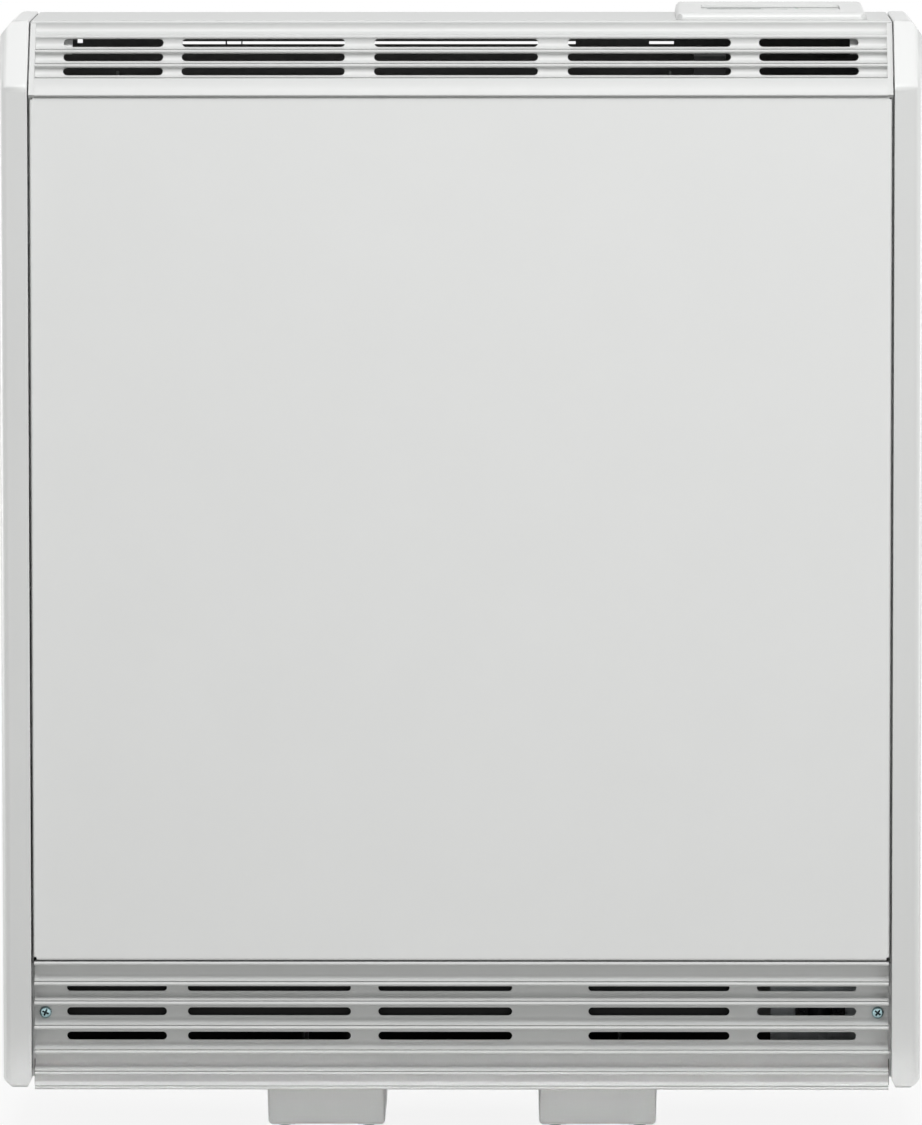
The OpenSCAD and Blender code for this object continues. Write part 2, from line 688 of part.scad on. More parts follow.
// Outer form of a foot cover, standing round x = 0, moved in by i
module foot_form(i) {
    w = foot_w / 2 - i;
    z0 = cover_floor_z + i;
    z1 = i > 0 ? base_z + cut : base_z;
    intersection() {
        along_y(front_y + foot_setback + i, front_y + foot_setback + foot_l - i)
            polygon(rounded([[-w, z1, 0], [w, z1, 0], [w - foot_taper, z0, max(3.5 - i, 0.5)],
                [-w + foot_taper, z0, max(3.5 - i, 0.5)]]));
        translate([0, front_y + foot_setback + foot_l / 2, -cut]) linear_extrude(base_z + 3 * cut)
            round_rect(2 * w, foot_l - 2 * i, max(4 - i, 0.5));
        along_x(-foot_w, foot_w) polygon(rounded([[front_y + foot_setback + i, z1, 0],
            [front_y + foot_setback + i + foot_taper, z0, max(2.5 - i, 0.5)],
            [front_y + foot_setback + foot_l - i - foot_taper, z0, max(2.5 - i, 0.5)],
            [front_y + foot_setback + foot_l - i, z1, 0]]));
    }
}

pad_x = foot_w / 2 - 11;
pad_y = foot_l / 2 - 11;

module at_pads() for (x = [-pad_x, pad_x]) for (y = [-pad_y, pad_y])
    translate([x, front_y + foot_setback + foot_l / 2 + y, 0]) children();

module foot_cover() color(white) difference() {
    foot_form(0);
    foot_form(foot_wall);
    at_pads() translate([0, 0, -cut]) cylinder(h = cut + cover_floor_z + pad_recess, r = pad_r + 0.2);
    // shallow relief in the bottom edge of the front and back
    translate([0, front_y + foot_setback + foot_l / 2, 0])
        cube([foot_w - 36, foot_l + 20, 2 * cover_floor_z + 1], center = true);
}

module right_foot_cover() translate([foot_pitch / 2, 0, 0]) foot_cover();

module left_foot_cover() translate([-foot_pitch / 2, 0, 0]) foot_cover();

module leg_brackets() color(steel) for (s = [-1, 1])
    translate([s * foot_pitch / 2, front_y + foot_setback + foot_l / 2, 0]) difference() {
        z0 = cover_floor_z + foot_wall + seat;
        block(-leg_w / 2, leg_w / 2, -leg_l / 2, leg_l / 2, z0, base_z);
        block(-leg_w / 2 + 2, leg_w / 2 - 2, -leg_l / 2 - cut, leg_l / 2 + cut, z0 - cut, base_z - 2);
        for (y = [-1, 1]) rod_z(0, y * leg_l / 3, base_z - 3, base_z + cut, 3);
    }

module foot_pads() color(dark) for (s = [-1, 1]) translate([s * foot_pitch / 2, 0, 0])
    at_pads() cylinder(h = cover_floor_z + pad_recess, r = pad_r);

module wall_spacers() color(dark) for (x = [-1, 1]) difference() {
    rod_y(x * wall_pitch / 2, back_y, wall_y, wall_fix_z, 8);
    rod_y(x * wall_pitch / 2, back_y - cut, wall_y + cut, wall_fix_z, wall_hole_r);
}

module grille_screws() color(steel) for (x = [-screw_x, screw_x]) translate([x, intake_wall_y, screw_z])
    rotate([90, 0, 0]) difference() {
        union() {
            translate([0, 0, -9]) cylinder(h = 9.2, r = screw_r);
            rotate_extrude() polygon(rounded([[0, 0, 0], [screw_head_r, 0, 0],
                [screw_head_r, 2.3, 1.6], [0, 2.6, 0]]));
        }
        for (a = [30, 120]) rotate([0, 0, a]) translate([-2.4, -0.5, 1.3]) cube([4.8, 1, 2]);
    }

// --- control pod ---------------------------------------------------------------------------------

pod_tilt = atan((pod_back_h - pod_front_h) / pod_l);

// The pod's form above the cover, moved in by i. Its sides are rounded along the rising top
module pod_form(i) {
    r = max(pod_edge_r - i, 0.5);
    x1 = pod_w / 2 - i;
    x2 = x1 - pod_lean * pod_front_h;
    intersection() {
        translate([pod_x, pod_y0 + pod_l / 2, cover_z - (i > 0 ? cut : 0)]) linear_extrude(20)
            round_rect(pod_w - 2 * i, pod_l - 2 * i, pod_corner_r - i);
        along_x(pod_x - pod_w, pod_x + pod_w) polygon(rounded([[pod_y0 + i, cover_z - cut, 0],
            [pod_y0 + pod_l - i, cover_z - cut, 0], [pod_y0 + pod_l - i, cover_z + pod_back_h - i, r],
            [pod_y0 + i, cover_z + pod_front_h - i, r]]));
        translate([pod_x, pod_y0, cover_z + pod_front_h - i]) rotate([pod_tilt, 0, 0])
            along_y(-10, pod_l + 10) polygon(rounded([[-x1 - pod_lean * 15, -15 - pod_front_h, 0],
                [x1 + pod_lean * 15, -15 - pod_front_h, 0], [x2, 0, r], [-x2, 0, r]]));
    }
}

module control_pod() color(white) difference() {
    pod_form(0);
    pod_form(pod_wall);
    translate([pod_x, fascia_y, cover_z]) linear_extrude(20) round_rect(fascia_w, fascia_l, fascia_r);
}

module at_buttons() for (k = [0 : 3]) translate([button_x0 + k * button_pitch, button_y, 0]) children();

module pod_fascia() color("#dfe0de") translate([0, 0, cover_z]) difference() {
    union() {
        translate([pod_x, fascia_y, 0]) linear_extrude(1.2)
            round_rect(fascia_w + 3, fascia_l + 3, fascia_r);
        translate([pod_x, fascia_y, 0]) linear_extrude(fascia_z - cover_z)
            round_rect(fascia_w - 2 * fascia_fit, fascia_l - 2 * fascia_fit, fascia_r - fascia_fit);
    }
    translate([pod_x, fascia_y, -cut]) linear_extrude(fascia_z - cover_z - fascia_t + cut)
        round_rect(hollow_w, hollow_l, 2);
    translate([window_x, window_y, 0]) linear_extrude(10) round_rect(window_w + 0.4, window_l + 0.4, 1);
    at_buttons() cylinder(h = 10, r = button_r + seat);
    rod_z(lens_x, lens_y, 0, 10, 1.3);
}

module display_window() color("#6d7472") translate([window_x, window_y, fascia_z - fascia_t + 0.2])
    linear_extrude(fascia_t - 0.4) round_rect(window_w, window_l, 0.8);

module display_module() color("#454a49") {
    z0 = board_z + board_t;
    z1 = fascia_z - fascia_t - 0.2;
    w = window_w + 2;
    l = window_l + 3;
    difference() {
        translate([window_x, window_y, z0]) linear_extrude(z1 - z0) round_rect(w, l, 0.6);
        translate([window_x, window_y, z1 - 0.6]) linear_extrude(2) round_rect(w - 3, l - 3, 0.6);
    }
}

module status_lens() color("#d8e4da") {
    rod_z(lens_x, lens_y, board_z + board_t + 1, fascia_z + 0.2, 1.1);
    rod_z(lens_x, lens_y, board_z + board_t, board_z + board_t + 2, 1.9);
}

button_flange_z = fascia_z - fascia_t - 0.1;
cap_h = fascia_z + button_proud - button_flange_z + 0.5;

module button(k) color("#c9ccca") translate([button_x0 + k * button_pitch, button_y, 0]) {
    translate([0, 0, button_flange_z - 1.1]) cylinder(h = 1.1, r = button_r + 1.2);
    translate([0, 0, button_flange_z - 0.5]) rotate_extrude() polygon(rounded([[0, 0, 0], [button_r, 0, 0],
        [button_r, cap_h, 0.5], [0, cap_h - 0.1, 0]], 4));
    rod_z(0, 0, board_z + board_t + switch_h + button_travel + 0.1, button_flange_z - 0.6, 1.5);
}

module mode_button() button(0);

module minus_button() button(1);

module plus_button() button(2);

module boost_button() button(3);

board_w = fascia_w - 8;
board_l = fascia_l - 8;

module control_board() color("#2f6b4a") {
    difference() {
        translate([pod_x, fascia_y, board_z]) linear_extrude(board_t) round_rect(board_w, board_l, 1);
        for (s = [-1, 1]) rod_z(pod_x + s * (board_w / 2 - 3), fascia_y - board_l / 2 + 3, board_z - cut,
            board_z + 3, 1.1);
    }
    at_buttons() translate([-2.5, -2.5, board_z + board_t - 0.2]) cube([5, 5, switch_h + 0.2]);
}

module pod_tray() color("#d5d6d4") translate([pod_x, fascia_y, 0]) {
    z1 = cover_z - sheet;
    difference() {
        translate([0, 0, tray_floor_z]) linear_extrude(z1 - tray_floor_z)
            round_rect(fascia_w, fascia_l, fascia_r);
        translate([0, 0, tray_floor_z + 1.6]) linear_extrude(30) round_rect(hollow_w, hollow_l, 2);
        for (k = [-3 : 3]) translate([k * 10 - 1, -12, tray_floor_z - cut]) cube([2, 24, 4]);
    }
    for (x = [-1, 1]) for (y = [-1, 1])
        rod_z(x * (board_w / 2 - 3), y * (board_l / 2 - 3), tray_floor_z + 1, board_z, 2.4);
}

// --- heat store ----------------------------------------------------------------------------------

module case_shell() color(steel) difference() {
    block(case_x0, case_x1, case_y0 + sheet, case_y1 - sheet, case_z0, case_z1 - sheet);
    block(case_x0 + sheet, case_x1 - sheet, case_y0, case_y1, case_z0 + sheet, case_z1);
    ducts(0, case_z0 - cut, core_z0);
    core_holes();
}

// The air ducts along the bricks' front, from z0 to z1, and d further forward
module ducts(d, z0, z1) for (x = duct_centres)
    block(x - duct_w / 2, x + duct_w / 2, core_y0 - d, core_y0 + duct_d, z0, z1);

// Holes for the elements and the probe through the store's right side
module core_holes() {
    x1 = case_x1 + cut;
    for (k = [1 : 3]) for (s = [-1, 1])
        rod_x(core_x1 - cut, x1, core_y + s * leg_pitch / 2, core_z0 + k * brick_h, element_r + element_fit);
    rod_x(core_x1 - cut, x1, core_y, probe_z, probe_r + element_fit);
}

module case_front() color(steel) difference() {
    block(case_x0, case_x1, case_y0, case_y0 + sheet, case_z0, case_z1);
    for (x = [-1, 1]) for (z = [0.25, 0.75])
        rod_y((case_x0 + case_x1) / 2 + x * (case_x1 - case_x0 - 20) / 2, case_y0 - cut,
            case_y0 + sheet + cut, case_z0 + z * (case_z1 - case_z0), 2);
}

module case_back() color(steel) block(case_x0, case_x1, case_y1 - sheet, case_y1, case_z0, case_z1);

module case_top() color(steel) difference() {
    block(case_x0, case_x1, case_y0 + sheet, case_y1 - sheet, case_z1 - sheet, case_z1);
    ducts(0, case_z1 - 2, case_z1 + cut);
}

wool = "#d9d2bd";

module insulation_front() color(wool)
    block(case_x0 + sheet, case_x1 - sheet, case_y0 + sheet, core_y0, case_z0 + sheet, case_z1 - sheet);

module insulation_back() color(wool)
    block(case_x0 + sheet, case_x1 - sheet, core_y1, case_y1 - sheet, case_z0 + sheet, case_z1 - sheet);

module insulation_left() color(wool)
    block(case_x0 + sheet, core_x0, core_y0, core_y1, case_z0 + sheet, case_z1 - sheet);

module insulation_right() color(wool) difference() {
    block(core_x1, case_x1 - sheet, core_y0, core_y1, case_z0 + sheet, case_z1 - sheet);
    core_holes();
}

module insulation_top() color(wool) difference() {
    block(core_x0, core_x1, core_y0, core_y1, core_z1, case_z1 - sheet);
    ducts(cut, core_z1 - cut, case_z1);
}

module insulation_base() color(wool) difference() {
    block(core_x0, core_x1, core_y0, core_y1, case_z0 + sheet, core_z0);
    ducts(cut, case_z0, core_z0 + cut);
}

// A hairpin's path as a solid of radius r, at height z, from its bend to x1
module hairpin(r, z, x1) {
    for (s = [-1, 1]) rod_x(hairpin_x0, x1, core_y + s * leg_pitch / 2, z, r);
    translate([hairpin_x0, core_y, z]) rotate([0, 0, 90]) rotate_extrude(angle = 180)
        translate([leg_pitch / 2, 0]) circle(r);
}

// One row of two bricks, with grooves for the elements and air ducts in the front face
module brick_row(k) color("#55504a") difference() {
    for (b = [0, 1]) {
        x0 = core_x0 + b * brick_w + brick_gap / 2;
        x1 = core_x0 + (b + 1) * brick_w - brick_gap / 2;
        z0 = core_z0 + k * brick_h;
        along_y(core_y0, core_y1) polygon([[x0 + 2, z0], [x1 - 2, z0], [x1, z0 + 2],
            [x1, z0 + brick_h - 2], [x1 - 2, z0 + brick_h], [x0 + 2, z0 + brick_h],
            [x0, z0 + brick_h - 2], [x0, z0 + 2]]);
    }
    for (i = [k, k + 1]) if (i > 0 && i < brick_rows)
        hairpin(element_r + element_fit, core_z0 + i * brick_h, core_x1 + cut);
    if (k == 1) rod_x(core_x1 - 42, core_x1 + cut, core_y, probe_z, probe_r + element_fit);
    ducts(cut, core_z0 - cut, core_z1 + cut);
}

module brick_row_1() brick_row(0);

module brick_row_2() brick_row(1);

module brick_row_3() brick_row(2);

module brick_row_4() brick_row(3);

module element(k) color("#8b8f90") {
    z = core_z0 + k * brick_h;
    hairpin(element_r, z, hairpin_x1);
    block(case_x1, case_x1 + 1.5, core_y - leg_pitch / 2 - 9, core_y + leg_pitch / 2 + 9, z - 7, z + 7);
    for (s = [-1, 1]) rod_x(hairpin_x1 - 1, hairpin_x1 + 10, core_y + s * leg_pitch / 2, z, 1.5);
}

module element_lower() element(1);

module element_middle() element(2);

module element_upper() element(3);

// Two inverted channels that carry the store above the tray
module core_rails() color(steel) for (s = [-1, 1]) translate([s * foot_pitch / 2, 0, 0]) difference() {
    block(-15, 15, case_y0 + 6, case_y1 - 2, tray_z, case_z0);
    block(-13.5, 13.5, case_y0, case_y1, tray_z - cut, case_z0 - 1.5);
}

// --- damper --------------------------------------------------------------------------------------

module damper_flap() color(steel) difference() {
    union() {
        block(flap_x0, flap_x1, hinge_y - flap_l, hinge_y, case_z1 + seat, case_z1 + seat + 1);
        block(flap_x0, flap_x1, hinge_y - flap_l, hinge_y - flap_l + 1, case_z1 + seat, case_z1 + seat + 5);
        rod_x(flap_x0, flap_x1, hinge_y, hinge_z, hem_r);
    }
    rod_x(flap_x0 - cut, flap_x1 + cut, hinge_y, hinge_z, shaft_r + run_fit);
}

module damper_shaft() color("#c7c9ca") {
    rod_x(flap_x0 - 8, crank_x + crank_t + 2, hinge_y, hinge_z, shaft_r);
    // crank arm that the plunger pushes
    rod_x(crank_x, crank_x + crank_t, hinge_y, hinge_z, shaft_r + 1.3);
    block(crank_x, crank_x + crank_t, hinge_y - crank_half, hinge_y + crank_half, hinge_z, plunger_z + 4);
}

module damper_bearings() color(steel) for (x = [flap_x0 - 1 - ear_t, flap_x1 + 1]) difference() {
    union() {
        along_x(x, x + ear_t) polygon(rounded([[hinge_y - 7, case_z1, 0], [hinge_y + 7, case_z1, 0],
            [hinge_y + 6, hinge_z + 6, 5], [hinge_y - 6, hinge_z + 6, 5]]));
        block(x < 0 ? x - 8 : x, x < 0 ? x + ear_t : x + ear_t + 8, hinge_y - 7, hinge_y + 7,
            case_z1, case_z1 + 1);
    }
    rod_x(x - cut, x + ear_t + cut, hinge_y, hinge_z, shaft_r + run_fit);
}

plunger_x = crank_x + crank_t / 2;

module actuator_body() color(dark) difference() {
    z0 = plunger_z - actuator_h / 2;
    z1 = plunger_z + actuator_h / 2;
    union() {
        along_x(plunger_x - actuator_w / 2, plunger_x + actuator_w / 2) polygon(rounded([
            [actuator_y - actuator_l, z0, 2], [actuator_y, z0, 2], [actuator_y, z1, 2],
            [actuator_y - actuator_l, z1, 4]]));
        block(plunger_x - 7, plunger_x + 7, actuator_y - actuator_l + 3, actuator_y - 3, case_z1, plunger_z);
    }
    rod_y(plunger_x, actuator_y - actuator_l + 3, actuator_y + cut, plunger_z, plunger_r + run_fit);
}

module actuator_plunger() color("#d8c27a")
    rod_y(plunger_x, actuator_y - actuator_l + 5, plunger_y, plunger_z, plunger_r);

// --- electrical bay ------------------------------------------------------------------------------

bay_board_x = plate_x - 9.6;
bay_board_z = base_z + 219;
bay_board_h = 150;
bay_board_l = 80;

module at_bay_corners() for (y = [-1, 1]) for (z = [6, bay_board_h - 6])
    translate([0, core_y + y * (bay_board_l / 2 - 6), bay_board_z + z]) children();

module power_board() color("#2f6b4a") difference() {
    union() {
        block(bay_board_x, bay_board_x + 1.6, core_y - bay_board_l / 2, core_y + bay_board_l / 2,
            bay_board_z, bay_board_z + bay_board_h);
        // three relays, a transformer and a connector strip
        x1 = bay_board_x + 0.2;
        for (k = [0 : 2]) block(bay_board_x - 16, x1, core_y - 30, core_y - 14,
            bay_board_z + 16 + k * 36, bay_board_z + 46 + k * 36);
        block(bay_board_x - 22, x1, core_y, core_y + 30, bay_board_z + 95, bay_board_z + 130);
        block(bay_board_x - 12, x1, core_y + 2, core_y + 28, bay_board_z + 18, bay_board_z + 78);
    }
    at_bay_corners() rod_x(bay_board_x - cut, bay_board_x + 3, 0, 0, 1.6);
}

module board_pillars() color("#d5d6d4") at_bay_corners() {
    rod_x(bay_board_x + 1.6, plate_x, 0, 0, 3);
    rod_x(bay_board_x - 1.5, bay_board_x + 2, 0, 0, 1.5);
}

module terminal_bracket() color(steel) difference() {
    union() {
        block(inlet_x - 32, inlet_x + 30, bracket_y, bracket_y + 1.5, tray_z, tray_z + 98);
        block(inlet_x - 32, inlet_x - 14, inlet_y - 12, bracket_y + 1.5, tray_z, tray_z + 1.5);
        block(inlet_x + 14, inlet_x + 30, inlet_y - 12, bracket_y + 1.5, tray_z, tray_z + 1.5);
    }
    for (x = [-22, 22]) rod_y(inlet_x + x, bracket_y - cut, bracket_y + 3, tray_z + 50, 3);
    // clears the cable grommet
    block(inlet_x - 13, inlet_x + 13, bracket_y - cut, bracket_y + 3, tray_z - cut, tray_z + 6);
}

module terminal_block() color("#e5e2d6") difference() {
    block(inlet_x - 25, inlet_x + 25, bracket_y - 18, bracket_y, tray_z + 62, tray_z + 88);
    for (k = [-1 : 1]) {
        rod_z(inlet_x + k * 15, bracket_y - 8, tray_z + 61, tray_z + 89, 3);
        rod_y(inlet_x + k * 15, bracket_y - 19, bracket_y - 8, tray_z + 75, 2.2);
    }
    for (k = [-1 : 2]) block(inlet_x + k * 15 - 8.2, inlet_x + k * 15 - 6.8, bracket_y - 19, bracket_y - 12,
        tray_z + 61, tray_z + 89);
}

module cable_clamp() color(dark) difference() {
    union() {
        block(inlet_x - 16, inlet_x + 16, bracket_y - 8, bracket_y, tray_z + 26, tray_z + 36);
        rod_z(inlet_x, inlet_y, tray_z + 26, tray_z + 36, cable_r + 3);
    }
    rod_z(inlet_x, inlet_y, tray_z + 25, tray_z + 37, cable_r + 0.2);
    for (s = [-1, 1]) rod_y(inlet_x + s * 12, bracket_y - 9, bracket_y - 4, tray_z + 31, 2.6);
    block(inlet_x - 30, inlet_x + 30, bracket_y, bracket_y + 20, tray_z, tray_z + 60);
}

module cable_grommet() color(dark) translate([inlet_x, inlet_y, 0]) rotate_extrude() polygon(rounded([
    [cable_r, base_z - 2.6, 0.6], [cable_r + 6.5, base_z - 2.6, 0.8], [cable_r + 6.5, base_z - 0.1, 0],
    [cable_r + 4, base_z - 0.1, 0], [cable_r + 4, tray_z + 0.1, 0], [cable_r + 6.5, tray_z + 0.1, 0],
    [cable_r + 6, tray_z + 2.6, 0.8], [cable_r, tray_z + 2.6, 0.6]], 3));

module core_sensor() color("#b9bcbd") {
    rod_x(core_x1 - 40, case_x1 + 12, core_y, probe_z, probe_r);
    rod_x(case_x1, case_x1 + 2, core_y, probe_z, 7);
}

module thermal_cutout() color("#2c2a28") {
    z = core_z0 + 3.5 * brick_h;
    rod_x(case_x1, case_x1 + 6, core_y, z, 8);
    block(case_x1, case_x1 + 1, core_y - 15, core_y + 15, z - 4, z + 4);
    for (y = [core_y - 4, core_y + 4]) block(case_x1 + 5, case_x1 + 12, y - 3, y + 0.8, z - 0.4, z + 0.4);
}

module room_sensor() color(white) {
    z = intake_z1 - 22;
    block(plate_x - 13, plate_x - 3, flange_y + sheet, flange_y + sheet + 6, z, z + 16);
    rod_y(plate_x - 8, flange_y + sheet + 5, flange_y + sheet + 10, z + 8, 2);
}

// --- assembly ------------------------------------------------------------------------------------

front_panel();
upper_grille();
lower_grille();
left_cheek();
right_cheek();
top_cover();
back_panel();
base_tray();
left_side_plate();
right_side_plate();
left_foot_cover();
right_foot_cover();
leg_brackets();
foot_pads();
wall_spacers();
grille_screws();
control_pod();
pod_fascia();
pod_tray();
display_window();
display_module();
status_lens();
mode_button();
minus_button();
plus_button();
boost_button();
control_board();
case_shell();
case_front();
case_back();
case_top();
insulation_front();
insulation_back();
insulation_left();
insulation_right();
insulation_top();
insulation_base();
brick_row_1();
brick_row_2();
brick_row_3();
brick_row_4();
element_lower();
element_middle();
element_upper();
core_rails();
damper_flap();
damper_shaft();
damper_bearings();
actuator_body();
actuator_plunger();
power_board();
board_pillars();
terminal_bracket();
terminal_block();
cable_clamp();
cable_grommet();
core_sensor();
thermal_cutout();
room_sensor();
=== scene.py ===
# %% [markdown]
# # A slim storage heater
# The heater is a tall, flat box: a heavy brick store wrapped in insulation, inside a white casing. Its
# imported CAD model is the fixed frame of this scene, with every piece at its real size and place. The work
# here is on looks: finishes, the two grilles and their screws, softened edges, the light and the camera.

import json
import math

import bmesh
import bpy
from mathutils import Matrix, Vector


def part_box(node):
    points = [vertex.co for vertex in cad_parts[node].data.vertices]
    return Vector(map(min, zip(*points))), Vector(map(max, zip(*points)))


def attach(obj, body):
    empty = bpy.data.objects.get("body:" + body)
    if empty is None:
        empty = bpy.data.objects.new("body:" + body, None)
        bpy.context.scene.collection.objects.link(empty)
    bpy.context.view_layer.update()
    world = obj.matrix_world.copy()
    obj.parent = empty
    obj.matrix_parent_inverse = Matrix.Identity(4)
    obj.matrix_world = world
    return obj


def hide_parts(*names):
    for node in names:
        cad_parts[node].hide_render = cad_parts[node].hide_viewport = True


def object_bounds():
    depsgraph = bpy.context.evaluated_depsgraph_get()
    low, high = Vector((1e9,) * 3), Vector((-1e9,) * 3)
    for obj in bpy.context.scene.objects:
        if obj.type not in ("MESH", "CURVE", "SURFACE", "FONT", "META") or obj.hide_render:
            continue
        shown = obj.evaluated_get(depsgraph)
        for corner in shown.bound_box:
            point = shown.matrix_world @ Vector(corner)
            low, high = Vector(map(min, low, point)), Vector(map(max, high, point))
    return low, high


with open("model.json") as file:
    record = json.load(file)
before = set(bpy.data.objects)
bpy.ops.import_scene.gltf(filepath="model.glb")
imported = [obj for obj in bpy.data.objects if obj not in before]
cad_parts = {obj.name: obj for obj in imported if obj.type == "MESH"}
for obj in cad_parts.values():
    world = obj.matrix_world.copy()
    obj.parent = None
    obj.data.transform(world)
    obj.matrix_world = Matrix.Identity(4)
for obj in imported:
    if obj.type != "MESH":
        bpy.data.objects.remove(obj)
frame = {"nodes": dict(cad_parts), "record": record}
cad_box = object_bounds()
nodes = frame["nodes"]
MM = 0.001
print("nodes", len(nodes), "box", [round(v, 4) for corner in cad_box for v in corner])

# %% [markdown]
# ## Helpers for colours and nodes
# Colours are picked as sRGB hex values, as a paint chart gives them, but shaders add up light in linear
# values, so one function turns them. A material is a small tree of nodes, and one function adds a node
# with its own settings and with its inputs, which are either numbers or links from other nodes.

# %% Colour and node helpers


def linear(code):
    """An sRGB hex colour such as "#e4e5e3" as linear red, green, blue and alpha, by the standard's curve."""
    parts = [int(code[i:i + 2], 16) / 255 for i in (1, 3, 5)]
    return [c / 12.92 if c <= 0.04045 else ((c + 0.055) / 1.055) ** 2.4 for c in parts] + [1.0]


def add(tree, kind, inputs=None, **settings):
    """Adds a node. Settings are its own properties, and inputs are values or the sockets that feed it."""
    node = tree.nodes.new(kind)
    for name, value in settings.items():
        setattr(node, name, value)
    for name, value in (inputs or {}).items():
        if isinstance(value, bpy.types.NodeSocket):
            tree.links.new(value, node.inputs[name])
        else:
            node.inputs[name].default_value = value
    return node


def new_material(name, **surface):
    """A material with one Principled shader. Returns the material, its tree, the shader and the place."""
    material = bpy.data.materials.new(name)
    material.use_nodes = True
    tree = material.node_tree
    shader = tree.nodes["Principled BSDF"]
    for socket, value in surface.items():
        shader.inputs[socket.replace("_", " ")].default_value = value
    place = add(tree, "ShaderNodeTexCoord").outputs["Object"]
    return material, tree, shader, place


print("helpers ready; mid grey is", [round(v, 3) for v in linear("#808080")])

# %% [markdown]
# ## Patterns with real sizes
# No real surface is the same all over. A soft pattern is spread between two close colours, between two
# roughness values, or between the low and high places of the surface, and often over all of them at once,
# because a thin spot of a coating is darker and duller too. The pattern's scale comes from its size in
# millimetres, so a finish is set from what could be measured on the real thing.

# %% Varied surfaces
MIX_FACTOR, MIX_FIRST, MIX_SECOND, MIX_RESULT = 0, 6, 7, 2  # a mix node's sockets for colours
NOISE_SPAN = (0.3, 0.7)  # nearly all of a noise lies between these


def per(size_mm):
    """The scale at which a pattern repeats about every size_mm."""
    return 1 / (size_mm * MM)


def varied(tree, shader, pattern, colours=None, roughness=None, depth_mm=None):
    """Spreads a pattern over the surface: two colours, two roughness values, its height, or all three."""
    if colours:
        first, second = (linear(c) if isinstance(c, str) else c for c in colours)
        mix = {MIX_FACTOR: pattern, MIX_FIRST: first, MIX_SECOND: second}
        colour = add(tree, "ShaderNodeMix", mix, data_type="RGBA").outputs[MIX_RESULT]
        tree.links.new(colour, shader.inputs["Base Color"])
    if roughness:
        spread = {"Value": pattern, "From Min": NOISE_SPAN[0], "From Max": NOISE_SPAN[1],
                  "To Min": roughness[0], "To Max": roughness[1]}
        tree.links.new(add(tree, "ShaderNodeMapRange", spread).outputs["Result"], shader.inputs["Roughness"])
    if depth_mm:
        bump = add(tree, "ShaderNodeBump", {"Height": pattern, "Distance": depth_mm * MM, "Strength": 1.0})
        tree.links.new(bump.outputs["Normal"], shader.inputs["Normal"])


print("a 2 mm pattern has scale", per(2))

# %% [markdown]
# ## The camera
# The photograph looks almost straight at the front, from a little above the heater's top: the cover is a
# thin band there, about three degrees below the eye. A long lens from far away keeps the upright edges
# parallel. The eye stands slightly right of the middle, so a little more of the left gaps shows. Depth of
# field and lens shift stay off. Aim, scale and roll were fitted to about thirty corners of the heater,
# and then to its outline.

# %% Camera
EYE_DISTANCE = 6.5
EYE_RIGHT = 0.0633
HEATER_TOP = 0.707
TOP_ANGLE = math.radians(2.8)
AIM = Vector((0.0, cad_box[0].y, 0.3661))
ROLL = math.radians(-0.046)
FRAME_H = 1125
PIXELS_PER_MM = 1.5835
SENSOR = 36.0
CLIP_END = 60

eye = Vector((EYE_RIGHT, cad_box[0].y - EYE_DISTANCE, HEATER_TOP + EYE_DISTANCE * math.tan(TOP_ANGLE)))
camera = bpy.data.objects.new("camera", bpy.data.cameras.new("camera"))
bpy.context.scene.collection.objects.link(camera)
bpy.context.scene.camera = camera
camera.location = eye
look = (AIM - eye).to_track_quat("-Z", "Y")
camera.rotation_euler = (look.to_matrix() @ Matrix.Rotation(ROLL, 3, "Z")).to_euler()
camera.data.sensor_width = SENSOR
camera.data.lens = PIXELS_PER_MM * SENSOR * (AIM - eye).length / MM / FRAME_H
camera.data.clip_end = CLIP_END
print("eye", [round(v, 3) for v in eye], "lens", round(camera.data.lens, 1), "mm")

# %% [markdown]
# ## The white background
# In a studio the heater would stand before a white paper roll, lit on its own. Here that white comes from
# the world, and only the camera, mirrors and glass see it. To every other ray the world is a weak fill, so
# it doesn't wash out the shade in the slots and under the ribs.

# %% World
WHITE = (1.0, 1.0, 1.0, 1.0)
BACKGROUND_WHITE = 1.0
WORLD_FILL = 0.15


def seen_directly(tree):
    """1 for rays that a viewer sees the background by: from the camera, off metal or through glass."""
    rays = add(tree, "ShaderNodeLightPath").outputs
    both = {0: rays["Is Camera Ray"], 1: rays["Is Glossy Ray"]}
    either = add(tree, "ShaderNodeMath", both, operation="MAXIMUM").outputs[0]
    all_three = {0: either, 1: rays["Is Transmission Ray"]}
    return add(tree, "ShaderNodeMath", all_three, operation="MAXIMUM").outputs[0]


world = bpy.data.worlds.new("studio")
bpy.context.scene.world = world
world.use_nodes = True
sky = world.node_tree.nodes["Background"]
strength = add(world.node_tree, "ShaderNodeMapRange", {"Value": seen_directly(world.node_tree),
                                                       "To Min": WORLD_FILL, "To Max": BACKGROUND_WHITE})
world.node_tree.links.new(strength.outputs["Result"], sky.inputs["Strength"])
sky.inputs["Color"].default_value = WHITE
print("background", BACKGROUND_WHITE, "world fill", WORLD_FILL)

# %% [markdown]
# ## The floor
# The heater stands on a plain matt floor. Light that the floor throws back up is a plain grey bounce. The
# camera sees the floor nearly white, with a little of the heater's soft shadow near the feet, and with
# distance it turns fully white, so that no horizon shows.

# %% Floor
FLOOR_HALF = 40  # metres
FLOOR_BOUNCE = "#a0a09e"
FLOOR_SEEN = "#f4f4f3"
FLOOR_GLOSS = 0.1
FLOOR_OWN_WHITE = 0.88  # the share of plain white near the heater, where the rest keeps its shadow
WHITE_FROM, WHITE_BEYOND = 0.7, 2.5  # metres from the heater's middle, where full white starts and ends

